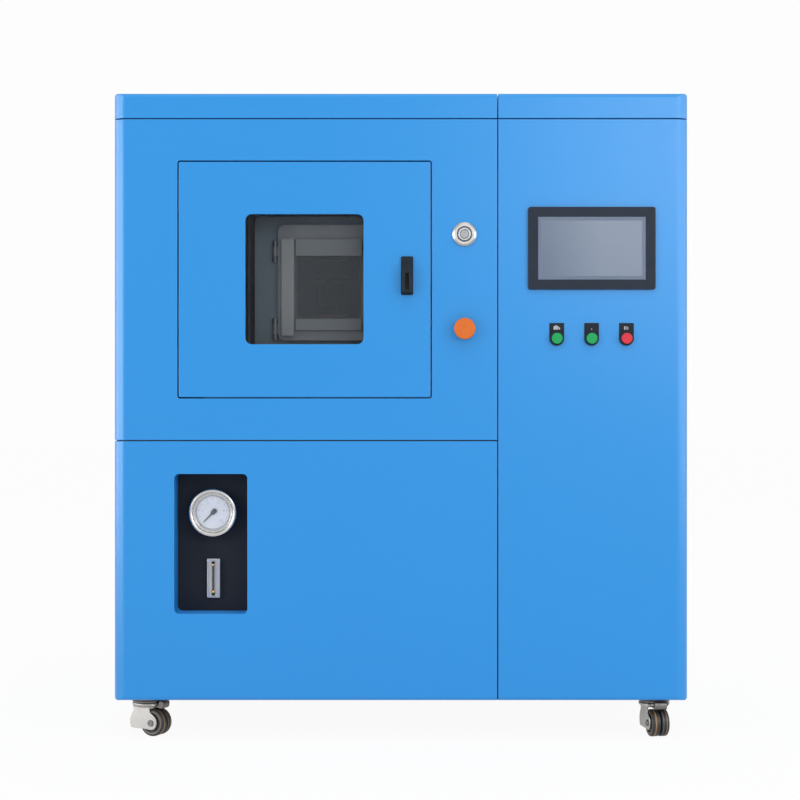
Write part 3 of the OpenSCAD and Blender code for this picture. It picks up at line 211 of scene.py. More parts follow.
def brushed(name, colour, rough=0.3, along=(1, 1, 40), edge=0.6 * MM, dirt=0.12):
    """Metal with the grain of its brushing or turning, stained a little, with a painted highlight
    on its edges.
    """
    s = Shader(name, Metallic=1.0)
    s.round_edges(edge)
    grain = s.noise(s.place(along), 60.0, 4.0, 0.7)
    stain = s.span(s.noise(s.place(), 14.0, 4.0), 0.0, 1.0)
    base = s.blend(stain, shade(colour, 1 - dirt), colour)
    # Painted highlight: the colour is made lighter on the edges.
    s.colour(s.edge_mask(), base, shade(colour, 1.15))
    s.roughness(grain, rough - 0.08, rough + 0.12)
    s.bump(grain, 0.08, 0.3 * MM)
    return s.material


def cast(name, colour, rough=0.6, metallic=0.0, grain=420.0, strength=0.12, spread=0.12,
         painted_edge_light=1.5, specular=0.5):
    """A cast or moulded skin with a fine grain and a painted highlight on its edges."""
    s = Shader(name, Metallic=metallic, Specular_IOR_Level=specular)
    s.round_edges(0.8 * MM)
    vector = s.place()
    clouds = s.span(s.noise(vector, 18.0, 3.0), 0.0, 1.0)
    base = s.blend(clouds, shade(colour, 1 - spread), shade(colour, 1 + spread))
    # Painted highlight: the colour is made lighter on the edges by a factor.
    s.colour(s.edge_mask(), base, shade(colour, painted_edge_light))
    s.roughness(s.noise(vector, 90.0, 2.0), rough - 0.06, rough + 0.08)
    s.bump(s.noise(vector, grain, 3.0, 0.6), strength, 0.3 * MM)
    return s.material


def gloss(name, colour, rough=0.18, painted_edge_light=1.6):
    """Polished plastic with a faint cloud in its colour and a painted highlight in its rim."""
    s = Shader(name, Specular_IOR_Level=0.2, Coat_Weight=0.1, Coat_Roughness=0.08)
    s.round_edges(1.4 * MM)
    vector = s.place()
    clouds = s.span(s.noise(vector, 60.0, 2.0), 0.0, 1.0)
    base = s.blend(clouds, shade(colour, 0.94), shade(colour, 1.04))
    # Painted highlight: the colour is made lighter in the rim.
    s.colour(s.edge_mask(), base, shade(colour, painted_edge_light))
    s.roughness(s.noise(vector, 160.0, 2.0), rough - 0.04, rough + 0.06)
    s.bump(s.noise(vector, 300.0, 2.0), 0.03, 0.2 * MM)
    return s.material


def ringed(name, node, rings, rough=0.28):
    """Turned metal coloured in rings about a button's axis: each its inner radius in mm and its
    colour. The rings are painted light: dark rings in the grooves are painted shade, bright rings
    are painted highlights.
    """
    s = Shader(name, Metallic=1.0)
    s.round_edges(0.8 * MM)
    centre = middle(node)
    offset = s.node("ShaderNodeVectorMath", operation="SUBTRACT")
    s.link(s.place(), offset.inputs[0])
    offset.inputs[1].default_value = centre
    flat = s.node("ShaderNodeVectorMath", operation="MULTIPLY")
    s.link(offset.outputs["Vector"], flat.inputs[0])
    flat.inputs[1].default_value = (1, 0, 1)
    length = s.node("ShaderNodeVectorMath", operation="LENGTH")
    s.link(flat.outputs["Vector"], length.inputs[0])
    ramp = s.node("ShaderNodeValToRGB")
    ramp.color_ramp.interpolation = "CONSTANT"
    reach = 25 * MM
    s.link(s.span(length.outputs["Value"], 0.0, 1.0, 0.0, reach), ramp.inputs["Fac"])
    stops = ramp.color_ramp.elements
    while len(stops) < len(rings):
        stops.new(1.0)
    for stop, (radius, colour) in zip(stops, rings):
        stop.position = radius * MM / reach
        stop.color = colour
    s.link(ramp.outputs["Color"], s.principled.inputs["Base Color"])
    grain = s.noise(s.place((1, 30, 1)), 60.0, 4.0, 0.7)
    s.roughness(grain, rough - 0.05, rough + 0.08)
    s.bump(grain, 0.02, 0.2 * MM)
    return s.material


def pane(name, colour, alpha, rough=0.05):
    """Glass with a faint film on it: partly clear, with its own gloss."""
    s = Shader(name, Base_Color=colour, IOR=1.5)
    film = s.noise(s.place(), 9.0, 4.0)
    s.roughness(film, rough, rough + 0.05)
    s.link(s.span(film, alpha - 0.03, alpha + 0.03), s.principled.inputs["Alpha"])
    return s.material


def shaded(name, one, other, axis, first, last, rough=0.45, metallic=0.0, specular=0.5,
           edge=1.0 * MM, painted_edge_light=1.3):
    """A moulded skin whose colour goes over to another between two places on an axis, with a
    painted highlight on its edges.
    """
    s = Shader(name, Metallic=metallic, Specular_IOR_Level=specular)
    s.round_edges(edge)
    base = s.blend(s.span(s.axis(axis), 0.0, 1.0, first, last), one, other)
    # Painted highlight: the colour is made lighter on the edges.
    s.colour(s.edge_mask(), base, shade(one, painted_edge_light))
    s.roughness(s.noise(s.place(), 90.0, 2.0), rough - 0.05, rough + 0.06)
    s.bump(s.noise(s.place(), 420.0, 3.0, 0.6), 0.1, 0.3 * MM)
    return s.material


def display(name, node, dark, light):
    """The unlit display, with a painted reflection: a soft gradient, lighter to the right and the
    top, under a fine weave.
    """
    s = Shader(name, Roughness=0.3, Specular_IOR_Level=0.3)
    low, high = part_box(node)
    across = s.span(s.axis("X"), 0.0, 0.85, low.x, low.x + 0.6 * (high.x - low.x))
    upwards = s.span(s.axis("Z"), 0.0, 0.25, low.z, high.z)
    # Painted reflection: the glass is made lighter to the right and the top.
    s.colour(s.math("ADD", across, upwards), dark, light)
    s.bump(s.noise(s.place(), 1500.0, 1.0), 0.02, 0.1 * MM)
    return s.material


BLUE = srgb(30, 148, 227)
blue = paint("blue_powder_coat", BLUE, painted_edge_light=1.1)
frame_paint = paint("grey_frame_paint", srgb(70, 74, 80), 0.6)
zinc_sheet = brushed("zinc_sheet", srgb(176, 178, 180), 0.42, (1, 1, 1), dirt=0.2)
bright = brushed("bright_steel", srgb(206, 205, 204), 0.24, (1, 30, 1))
turned = brushed("turned_steel", srgb(190, 192, 196), 0.3, (1, 1, 40))
chrome = brushed("gauge_chrome", srgb(200, 198, 194), 0.2, (1, 12, 1), dirt=0.08)
stainless = brushed("chamber_stainless", srgb(88, 99, 109), 0.5, (40, 1, 1), dirt=0.06)
door_metal = cast("chamber_door_metal", srgb(110, 116, 121), 0.5, 0.3)
fork_metal = brushed("fork_zinc_plate", srgb(178, 176, 173), 0.45, (8, 8, 1), edge=1.2 * MM,
                     dirt=0.22)
# Painted shade on the viewport's clamp bars: beyond the end of the left bar the colour goes darker.
bar_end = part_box("viewport_clamps")[0].x + 25 * MM
clamp_painted_shade = shaded("clamp_bar_painted_shade", srgb(120, 126, 129), srgb(100, 106, 110), "X",
                     bar_end, bar_end + 2 * MM, metallic=0.35)
# Painted light on the latch lever: the colour goes darker deeper than its front, a painted shade in
# the scoop, and its rounded edges get a painted highlight.
lever_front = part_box("latch_lever")[0].y
lever_painted_light = shaded("lever_black_painted_light", srgb(24, 36, 47), srgb(8, 12, 17), "Y",
                     lever_front + 0.8 * MM, lever_front + 2.6 * MM, 0.4, specular=0.15,
                     edge=4 * MM, painted_edge_light=1.5)
# The pedal plate is a darker copy of the fork's zinc plate: painted shade.
pedal_painted_shade = brushed("pedal_zinc_painted_shade", srgb(120, 116, 114), 0.45, (8, 8, 1), edge=1.0 * MM,
                      dirt=0.3)
dark_bolt = cast("axle_bolt_steel", srgb(112, 112, 114), 0.4, 0.7)
# Painted shadow: a brown ring in the race's groove for the dark line under the cabinet.
race_shadow_brown = cast("race_painted_shadow_brown", srgb(96, 72, 58), 0.5, spread=0.3)
rubber = cast("wheel_rubber", srgb(30, 31, 34), 0.55, spread=0.25)
seal_rubber = cast("seal_rubber", srgb(16, 16, 17), 0.75)
black = cast("black_plastic", srgb(24, 37, 48), 0.42, specular=0.15)
legend_black = cast("legend_plate_black", srgb(28, 35, 46), 0.5, specular=0.15)
copper = brushed("copper", srgb(196, 128, 92), 0.32)
brass = brushed("brass", srgb(222, 178, 96), 0.24, (1, 12, 1))
ceramic = cast("insulator_ceramic", srgb(226, 224, 214), 0.5, painted_edge_light=1.05)
graphite = cast("graphite", srgb(46, 46, 48), 0.55, 0.2, 260.0)
pump_paint = paint("pump_paint", srgb(92, 108, 132), 0.5)
supply_paint = paint("supply_paint", srgb(164, 168, 172), 0.5)
gear_paint = paint("switchgear_plate_paint", srgb(176, 178, 180), 0.5)
fan_paint = paint("fan_black", srgb(30, 31, 33), 0.5)
instrument_paint = paint("instrument_plate_paint", srgb(24, 31, 42), 0.62, 0.12, spread=0.05,
                         specular=0.2)
gauge_plate = cast("level_gauge_alloy", srgb(176, 180, 190), 0.4, 0.6, spread=0.06, painted_edge_light=1.15)
# Painted shade: the factor under 1 makes the housing's edges darker.
screen_plastic = cast("screen_housing_plastic", srgb(38, 46, 59), 0.45, grain=600.0, strength=0.05,
                      spread=0.05, painted_edge_light=0.8, specular=0.15)
green = gloss("green_cap", srgb(26, 168, 92), painted_edge_light=1.5)
red = gloss("red_cap", srgb(220, 52, 68), painted_edge_light=1.2)
orange = gloss("orange_head", srgb(228, 116, 42), 0.4, painted_edge_light=1.2)
race_metal = brushed("caster_race_zinc", srgb(140, 141, 143), 0.35, (1, 1, 40))
# Painted light on the metal button: dark rings of painted shade in its grooves and bright rings of
# painted highlight.
bezel_painted_light = ringed("button_bezel_painted_light", "metal_button_bezel",
                     [(0, srgb(96, 100, 108)), (16.1, srgb(186, 184, 183)),
                      (20.9, srgb(172, 169, 166))])
cap_painted_light = ringed("button_cap_painted_light", "metal_button_cap",
                   [(0, srgb(152, 154, 158)), (8.2, srgb(104, 106, 112)),
                    (9.8, srgb(190, 190, 193)), (12.4, srgb(120, 122, 128))])
dark_pointer = cast("pointer_black", srgb(20, 28, 42), 0.5, specular=0.15)
window_pane = pane("window_pane", srgb(70, 76, 82), 0.09)
viewport_pane = pane("viewport_pane", srgb(72, 77, 83), 0.42)
lens_glass = pane("gauge_lens_glass", srgb(225, 230, 235), 0.08, 0.03)
dial_white = cast("dial_white", srgb(234, 238, 249), 0.6, strength=0.03, spread=0.03, painted_edge_light=1.0)
dial_print = cast("dial_print", srgb(140, 158, 200), 0.6, strength=0.03, spread=0.05, painted_edge_light=1.0)
sight_fluid = cast("sight_tube_fluid", srgb(72, 66, 52), 0.25, spread=0.2)
# Tan stripes of painted highlight on the tyres' tread; the grey also colours a tread stripe and the
# rings on the tyres' faces.
tan_tread_highlight = cast("wheel_tan_painted_highlight", srgb(150, 112, 70), 0.5, spread=0.3)
grey_ring = cast("wheel_ring_grey", srgb(112, 102, 96), 0.5, spread=0.25)
legend_white = cast("legend_mark_white", srgb(222, 222, 230), 0.6, strength=0.03, spread=0.05,
                    painted_edge_light=1.0)
screen_border = cast("screen_border_glass", srgb(106, 120, 142), 0.34, grain=900.0, strength=0.03,
                     spread=0.04, painted_edge_light=1.1, specular=0.3)
screen_rim = cast("screen_rim_glass", srgb(132, 146, 166), 0.34, grain=900.0, strength=0.03,
                  spread=0.04, painted_edge_light=1.0, specular=0.3)
screen_glass = display("screen_glass", "touchscreen_glass", srgb(102, 117, 138),
                       srgb(134, 147, 166))

FINISH = {
    blue: ["top_cover_left", "top_cover_right", "upper_front_panel", "lower_front_panel",
           "control_front_panel", "side_panels", "rear_panels", "furnace_door"],
    frame_paint: ["cabinet_frame", "press_frame", "hydraulic_cylinder", "hydraulic_unit"],
    zinc_sheet: ["inner_sheets"],
    window_pane: ["window_glass"],
    viewport_pane: ["viewport_glass"],
    lens_glass: ["gauge_lens"],
    seal_rubber: ["window_seal"],
    bezel_painted_light: ["metal_button_bezel"],
    cap_painted_light: ["metal_button_cap"],
    turned: ["door_hinge_pins", "tie_rods", "press_ram"],
    stainless: ["vacuum_chamber"],
    door_metal: ["chamber_door"],
    clamp_painted_shade: ["viewport_clamps"],
    black: ["latch_base", "button_bezels", "fan_rotor"],
    lever_painted_light: ["latch_lever"],
    legend_black: ["legend_plates"],
    copper: ["lower_electrode", "upper_electrode"],
    brass: ["rear_fittings"],
    ceramic: ["upper_insulator"],
    graphite: ["graphite_die_set"],
    pump_paint: ["vacuum_pump"],
    supply_paint: ["power_supply"],
    gear_paint: ["control_backplate"],
    fan_paint: ["fan_guard"],
    screen_plastic: ["touchscreen_housing"],
    screen_glass: ["touchscreen_glass"],
    green: ["left_button_cap", "middle_button_cap"],
    red: ["right_button_cap"],
    orange: ["mushroom_button"],
    instrument_paint: ["instrument_plate"],
    dark_pointer: ["gauge_pointer"],
}


def finish_nodes():
    """Gives each CAD node its material."""
    for material, names in FINISH.items():
        for name in names:
            mesh = nodes[name].data
            mesh.materials.clear()
            mesh.materials.append(material)


class Form:
    """The points and faces of one piece, gathered from turned forms and blocks."""

    def __init__(self):
        self.verts = []
        self.faces = []

    def turned(self, profile, place, axis, steps=64):
        """A turned form. The profile's points are radius and height along the axis."""
        along = Vector(axis).normalized().to_track_quat("Z", "Y").to_matrix().to_4x4()
        matrix = Matrix.Translation(Vector(place)) @ along
        rings = []
        for r, h in profile:
            if r <= 1e-9:
                self.verts.append(matrix @ Vector((0, 0, h)))
                rings.append([len(self.verts) - 1] * steps)
                continue
            first = len(self.verts)
            for k in range(steps):
                a = 2 * math.pi * k / steps
                self.verts.append(matrix @ Vector((r * math.cos(a), r * math.sin(a), h)))
            rings.append(list(range(first, first + steps)))
        for one, other in zip(rings, rings[1:]):
            for k in range(steps):
                n = (k + 1) % steps
                face = []
                for v in (one[k], one[n], other[n], other[k]):
                    if v not in face:
                        face.append(v)
                if len(face) > 2:
                    self.faces.append(face)
        return self

    def block(self, low, high, matrix=None):
        """A block between two corners."""
        matrix = matrix or Matrix.Identity(4)
        first = len(self.verts)
        for x in (low[0], high[0]):
            for y in (low[1], high[1]):
                for z in (low[2], high[2]):
                    self.verts.append(matrix @ Vector((x, y, z)))
        for face in ((0, 1, 3, 2), (4, 6, 7, 5), (0, 4, 5, 1), (2, 3, 7, 6), (0, 2, 6, 4),
                     (1, 5, 7, 3)):
            self.faces.append([first + v for v in face])
        return self

    def plate(self, outline, y0, y1, matrix=None):
        """A plate between two depths, cut along an outline of X and Z."""
        matrix = matrix or Matrix.Identity(4)
        first = len(self.verts)
        count = len(outline)
        for y in (y0, y1):
            for x, z in outline:
                self.verts.append(matrix @ Vector((x, y, z)))
        self.faces.append([first + k for k in range(count)])
        self.faces.append([first + count + k for k in reversed(range(count))])
        for k in range(count):
            n = (k + 1) % count
            self.faces.append([first + k, first + count + k, first + count + n, first + n])
        return self

    def piece(self, name, material, body, slot, bevel=0.0):
        """The finished piece, which rides on a body. Its faces are turned outwards."""
        mesh = bpy.data.meshes.new(name)
        mesh.from_pydata([tuple(v) for v in self.verts], [], self.faces)
        mesh.validate()
        work = bmesh.new()
        work.from_mesh(mesh)
        bmesh.ops.recalc_face_normals(work, faces=work.faces)
        work.to_mesh(mesh)
        work.free()
        mesh.update()
        mesh.materials.append(material)
        mesh.shade_smooth()
        mesh.set_sharp_from_angle(angle=math.radians(35))
        obj = bpy.data.objects.new(name, mesh)
        bpy.context.scene.collection.objects.link(obj)
        if bevel:
            soft = obj.modifiers.new("soft_edges", "BEVEL")
            soft.width = bevel
            soft.segments = 2
            soft.limit_method = "ANGLE"
            soft.angle_limit = math.radians(40)
        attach(obj, body)
        return obj


def figures(name, text, size, place, material, body):
    """Plain figures that stand upright and face the front."""
    curve = bpy.data.curves.new(name, "FONT")
    curve.body = text
    curve.size = size
    curve.extrude = 0.1 * MM
    curve.align_x = "CENTER"
    curve.align_y = "CENTER"
    curve.materials.append(material)
    obj = bpy.data.objects.new(name, curve)
    obj.rotation_euler = (math.pi / 2, 0, 0)
    obj.location = place
    bpy.context.scene.collection.objects.link(obj)
    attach(obj, body)


def arc(x, y, r, first, last, steps=6):
    """Points on an arc, with its angles in degrees."""
    angles = [math.radians(first + (last - first) * k / steps) for k in range(steps + 1)]
    return [(x + r * math.cos(a), y + r * math.sin(a)) for a in angles]


def millimetres(points):
    """Points written in millimetres, in metres."""
    return [(a * MM, b * MM) for a, b in points]


def gauge():
    """The gauge's chromed case with a rolled rim and a sloped ring inside, and its dial."""
    low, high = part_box("gauge_case")
    centre = (low + high) / 2
    plate_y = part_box("instrument_plate")[0].y
    depth = (plate_y - low.y) / MM
    dial_back = 13
    dial_h = depth - dial_back
    rim_r = 4.5
    case_r = 50
    rim = arc(case_r - rim_r, depth - rim_r, rim_r, 0, 180, 12)
    stem_r, stem_l = 8, 34
    profile = [(0, -stem_l), (stem_r, -stem_l), (stem_r, 0), (47, 0), (47, dial_h),
               (case_r, depth - 11)]
    profile += rim
    profile += [(41, depth - 5.2), (38.6, depth - 5.2), (37.8, depth - 5.6), (34.4, dial_h + 0.6),
                (33.8, dial_h), (0, dial_h)]
    body = Form().turned(millimetres(profile), (centre.x, plate_y, centre.z), FRONT, 96).piece(
        "gauge_body", chrome, "root", "bright_steel")
    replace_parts(body, "gauge_case")
    dial_y = low.y + dial_back * MM
    place = (centre.x, dial_y, centre.z)
    face_t = 0.4 * MM
    face_r = 33.6 * MM
    Form().turned([(0, 0), (0, face_t), (face_r, face_t), (face_r, 0), (0, 0)], place, FRONT).piece(
        "gauge_dial_face", dial_white, "root", "bright_steel")
    start, sweep, marks, between = 225.0, 270.0, 10, 5
    print_t = 0.15 * MM
    ticks = Form()
    for i in range(marks * between + 1):
        angle = math.radians(start - sweep * i / (marks * between))
        main = i % between == 0
        inner = (27.5 if main else 30.0) * MM
        outer = 32.0 * MM
        half = (0.4 if main else 0.14) * MM
        matrix = Matrix.Translation(place) @ Matrix.Rotation(-angle, 4, "Y")
        ticks.block((inner, -face_t - print_t, -half), (outer, -face_t, half), matrix)
    ticks.piece("gauge_ticks", dial_print, "root", "bright_steel")
    number_ring, number_size = 22.5 * MM, 5.2 * MM
    for i in range(0, marks + 1, 2):
        angle = math.radians(start - sweep * i / marks)
        number_place = (centre.x + number_ring * math.cos(angle), dial_y - face_t - 0.1 * MM,
                        centre.z + number_ring * math.sin(angle))
        figures("gauge_number_%d" % i, str(i), number_size, number_place, dial_print, "root")
    hub_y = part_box("gauge_pointer")[0].y
    Form().turned(millimetres([(0, 0), (0, 1.2), (2.4, 1.1), (4.0, 0.6), (4.6, 0), (0, 0)]),
                  (centre.x, hub_y, centre.z), FRONT).piece(
        "gauge_hub", dark_pointer, "pointer", "pointer_black")
    tail_r = 5.0
    tail = (centre - middle("gauge_pointer")) * Vector((1, 0, 1))
    tail = tail.normalized() * tail_r * MM
    Form().turned(millimetres([(0, 0), (0, 0.9), (4.6, 0.7), (tail_r, 0.4), (tail_r, 0), (0, 0)]),
                  (centre.x + tail.x, hub_y, centre.z + tail.z), FRONT).piece(
        "gauge_pointer_tail", dark_pointer, "pointer", "pointer_black")
    # A dark ring set into the groove inside the rolled rim: a painted shadow.
    groove = [(40.9, depth - 5.4), (40.9, depth - 4.9), (42.1, depth - 2.3), (42.5, depth - 2.7),
              (41.6, depth - 5.4), (40.9, depth - 5.4)]
    Form().turned(millimetres(groove), (centre.x, plate_y, centre.z), FRONT, 96).piece(
        "gauge_rim_painted_shadow", dark_pointer, "root", "bright_steel")


def rounded(x0, z0, x1, z1, r):
    """The outline of a rectangle with rounded corners."""
    steps = 4
    return (arc(x1 - r, z1 - r, r, 0, 90, steps) + arc(x0 + r, z1 - r, r, 90, 180, steps)
            + arc(x0 + r, z0 + r, r, 180, 270, steps) + arc(x1 - r, z0 + r, r, 270, 360, steps))


def ball(r):
    """The profile of a ball."""
    return arc(0, 0, r * MM, -90, 90, 10)


def level_gauge():
    """The level gauge: an alloy plate with rails, a sight tube and a brass ball at each end."""
    low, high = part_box("level_gauge")
    centre = (low + high) / 2
    x, z = centre.x / MM, centre.z / MM
    wide, tall = (high.x - low.x) / MM, (high.z - low.z) / MM
    back = high.y
    corner_r = 1.5
    face = back - 8 * MM
    rooted = face + 0.5 * MM
    x0, x1, z0, z1 = x - wide / 2, x + wide / 2, z - tall / 2, z + tall / 2
    body = Form()
    body.plate(millimetres(rounded(x0, z0, x1, z1, corner_r)), face, back)
    for side in (-1, 1):
        rail = x + side * (wide / 2 - 1.8)
        body.plate(millimetres(rounded(rail - 1, z0 + corner_r, rail + 1, z1 - corner_r, 0.6)),
                   face - 3 * MM, rooted)
        bar = z + side * (tall / 2 - 2.5)
        body.plate(millimetres(rounded(x0 + 4, bar - 0.5, x1 - 4, bar + 0.5, 0.3)),
                   face - 0.6 * MM, rooted)
    end = 28
    for side in (-1, 1):
        body.turned(millimetres([(0, 0), (3.4, 0), (3.4, 5), (2.6, 6), (0, 6)]),
                    (centre.x, rooted, centre.z + side * end * MM), FRONT, 24)
    plate = body.piece("level_gauge_plate", gauge_plate, "root", "bright_steel", 0.4 * MM)
    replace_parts(plate, "level_gauge")
    ball_y = back - 14.5 * MM
    for side, name, r in ((1, "top", 3.0), (-1, "bottom", 3.9)):
        Form().turned(ball(r), (centre.x, ball_y, centre.z + side * end * MM), FRONT, 32).piece(
            "level_ball_" + name, brass, "root", "brass_fittings")
    Form().turned(millimetres([(0, -end), (2.4, -end), (2.4, end), (0, end)]),
                  (centre.x, ball_y, centre.z), UP, 24).piece(
        "level_sight_tube", sight_fluid, "root", "pane_glass")
    nuts = Form()
    nuts.turned(millimetres([(0, 3), (3.2, 3), (3.6, 4), (3.6, 7), (0, 7.5)]),
                (centre.x, ball_y, centre.z + end * MM), UP, 6)
    nuts.turned(millimetres([(0, 3.6), (3.0, 3.6), (3.4, 4.4), (3.4, 7), (0, 7.5)]),
                (centre.x, ball_y, centre.z - end * MM), DOWN, 6)
    nuts.piece("level_gauge_nuts", dark_pointer, "root", "bright_steel")


def screen_details():
    """The border of the display and the thin line inside it, each in four strips."""
    low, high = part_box("touchscreen_glass")
    width = 6.8 * MM
    line = 0.9 * MM
    thick = 0.15 * MM
    y = low.y
    border = Form()
    rim = Form()
    for form, far_in, near_in in ((border, width, 0.0), (rim, width + line, width)):
        x0, x1, z0, z1 = low.x + near_in, high.x - near_in, low.z + near_in, high.z - near_in
        step = far_in - near_in
        form.block((x0, y - thick, z0), (x1, y, z0 + step))
        form.block((x0, y - thick, z1 - step), (x1, y, z1))
        form.block((x0, y - thick, z0 + step), (x0 + step, y, z1 - step))
        form.block((x1 - step, y - thick, z0 + step), (x1, y, z1 - step))
    border.piece("screen_border", screen_border, "root", "screen_face")
    rim.piece("screen_border_rim", screen_rim, "root", "screen_face")


def legend_marks():
    """Plain bar marks on the legend plates, in place of lettering."""
    low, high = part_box("legend_plates")
    caps = ["left_button_cap", "middle_button_cap", "right_button_cap"]
    marks = [[(-5.2, 2.4, 7), (-1.6, 2.4, 9), (2.0, 2.4, 7.5), (5.6, 1.8, 5)],
             [(0, 1.8, 2.2)],
             [(-3.6, 1.8, 7), (-0.4, 1.2, 7), (2.8, 1.2, 6)]]
    foot = high.z - 13.6 * MM
    for cap, bars in zip(caps, marks):
        x = middle(cap).x
        form = Form()
        for across, width, height in bars:
            form.block((x + (across - width / 2) * MM, low.y - 0.15 * MM, foot),
                       (x + (across + width / 2) * MM, low.y, foot + height * MM))
        form.piece("legend_mark_" + cap.split("_")[0], legend_white, "root", "black_plastic")


def soften(outline):
    """A closed outline with its corners cut round, in two passes."""
    for _ in range(2):
        cut = []
        for k, (x, z) in enumerate(outline):
            nx, nz = outline[(k + 1) % len(outline)]
            cut += [(0.75 * x + 0.25 * nx, 0.75 * z + 0.25 * nz),
                    (0.25 * x + 0.75 * nx, 0.25 * z + 0.75 * nz)]
        outline = cut
    return outline


def at_joint(name):
    """A joint's place and axis."""
    joint = next(j for j in frame["joints"] if j["name"] == name)
    return Vector(joint["pos_m"]), Vector(joint["axis"])


def caster_matrix(wheel):
    """A caster's own space: X along its trail, Y along its axle, Z up from the floor."""
    swivel = at_joint(wheel + "_swivel_turn")[0]
    hub = at_joint(wheel + "_wheel_spin")[0]
    turn = math.atan2(hub.y - swivel.y, hub.x - swivel.x)
    return Matrix.Translation((swivel.x, swivel.y, 0)) @ Matrix.Rotation(turn, 4, "Z")


# Caster outlines in millimetres. Those of the sides are X along the trail and Z up from the floor,
# those of the turned parts are radius and height about the swivel.
FORK_SIDE = [(-25, 69), (-22.5, 60), (-22, 52), (-27, 45), (-30, 37), (-30, 25), (-28, 16),
             (-8, 15.6), (10, 14.6), (20, 13.2), (29, 15.5), (34, 24), (34, 32), (31, 40),
             (25, 45), (18, 49.5), (17, 58), (22, 62), (31, 64), (31, 69)]
FORK_CUP = [(6.4, 69.7), (29.6, 69.7), (32, 67.8), (32, 64.6), (31.2, 63.6), (29.5, 62),
            (28.5, 60.4), (26.5, 60.4), (26.5, 66.7), (6.4, 66.7), (6.4, 69.7)]
RACE = [(0, 80), (30, 80), (31.4, 79), (31.8, 75.6), (30.4, 75.4), (30.4, 72.2), (32, 72),
        (32, 70.8), (31, 70), (26, 70), (6, 70), (6, 63.8), (0, 63.8)]
# The brown ring in the race's groove, a painted shadow.
RACE_SHADOW = [(30.5, 75.3), (31.8, 75.3), (32, 74.6), (32, 73), (31.6, 72.3), (30.5, 72.3), (30.5, 75.3)]
PEDAL_SIDE = [(20, 62), (24, 64.5), (29, 63.5), (33, 66), (34, 72), (38, 74.5), (43, 73.5),
              (45.5, 69), (45, 62), (42, 57.5), (36, 57.5), (30, 60), (23, 59)]


def casters():
    """The four casters: race, pressed zinc fork, twin tyres and, in front, the brake pedal."""
    tyre_r, tyre_half, face_x, groove_half, shoulder_r = 28, 18, 16, 1.6, 3.5
    side_t, side_inner = 3, 18.6
    half_pedal = 13 * MM
    ring_r, seat_r = 28.05, 27.4
    races, shadow_rings = Form(), Form()
    for wheel in WHEELS:
        matrix = caster_matrix(wheel)
        place = matrix.translation
        races.turned(millimetres(RACE), place, UP)
        shadow_rings.turned(millimetres(RACE_SHADOW), place, UP)
        fork = Form()
        fork.turned(millimetres(FORK_CUP), place, UP)
        side = millimetres(soften(FORK_SIDE))
        for inner in (-side_inner - side_t, side_inner):
            fork.plate(side, inner * MM, (inner + side_t) * MM, matrix)
        shell = fork.piece(wheel + "_fork_shell", fork_metal, wheel + "_swivel", "fork_zinc",
                           0.8 * MM)
        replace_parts(shell, wheel + "_fork")

        hub, axle = at_joint(wheel + "_wheel_spin")
        bolt = Form()
        bolt.turned(millimetres([(0, -22.4), (4.9, -22.4), (4.9, 22.4), (0, 22.4)]), hub, axle, 32)
        head = [(0, 21.6), (6.6, 21.6), (6.6, 23.6), (5.6, 24.4), (3.2, 24.4), (2.8, 23.4),
                (0, 23.4)]
        for end in (-1, 1):
            bolt.turned(millimetres([(r, end * h) for r, h in head]), hub, axle, 32)
        bolt.piece(wheel + "_axle_bolt", dark_bolt, wheel + "_swivel", "fork_zinc")

        half = [(5.05, -tyre_half), (12.6, -tyre_half), (13.6, -face_x), (18.8, -face_x),
                (19.6, -17.6), (24.4, -tyre_half)]
        half += arc(tyre_r - shoulder_r, shoulder_r - tyre_half, shoulder_r, -90, 0, 6)
        half += [(tyre_r, -3.2), (seat_r, -2.2), (26.6, -1.8), (21, -groove_half)]
        whole = half + [(r, -h) for r, h in reversed(half)] + [half[0]]
        tyres = Form().turned(millimetres(whole), hub, axle, 72).piece(
            wheel + "_twin_tyres", rubber, wheel + "_roller", "wheel_rubber")
        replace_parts(tyres, wheel + "_wheel")
        # The three rings on the tread are painted highlights: tan and grey stripes standing for the
        # light on the twin tyres' tread.
        for k, (at, wide, material) in enumerate([(-11.4, 1.9, tan_tread_highlight), (4.6, 0.9, grey_ring),
                                                  (12.2, 1.1, tan_tread_highlight)]):
            band = [(seat_r, at - wide), (ring_r, at - wide + 0.3), (ring_r, at + wide - 0.3),
                    (seat_r, at + wide)]
            Form().turned(millimetres(band + band[:1]), hub, axle, 72).piece(
                "%s_tread_painted_highlight_%d" % (wheel, k + 1), material, wheel + "_roller", "wheel_rubber")
        for end, name in ((-1, "inner"), (1, "outer")):
            ring = [(19.8, end * 17.2), (20.6, end * 18.05), (23.4, end * 18.25),
                    (24.4, end * 17.6)]
            Form().turned(millimetres(ring + ring[:1]), hub, axle, 72).piece(
                "%s_%s_face_ring" % (wheel, name), grey_ring, wheel + "_roller", "wheel_rubber")
    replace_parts(races.piece("caster_races", race_metal, "root", "bright_steel"), "caster_plates")
    shadow_rings.piece("caster_race_painted_shadows", race_shadow_brown, "root", "bright_steel")
    for side in ("left", "right"):
        matrix = caster_matrix("front_" + side)
        form = Form().plate(millimetres(soften(PEDAL_SIDE)), -half_pedal, half_pedal, matrix)
        pedal = form.piece(side + "_pedal_plate", pedal_painted_shade, side + "_pedal", "black_plastic",
                           1.2 * MM)
        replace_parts(pedal, side + "_brake_pedal")


def dome_screws(name, places, axis, r, material, body, slot):
    """Round-headed screws with a recess in the head, all in one piece."""
    profile = [(0, 0.2), (0.42, 0.2), (0.42, 0.62), (0.55, 0.62), (0.8, 0.48), (0.95, 0.25), (1, 0)]
    form = Form()
    for place in places:
        form.turned([(a * r, h * r) for a, h in profile], place, axis, 24)
    form.piece(name, material, body, slot)


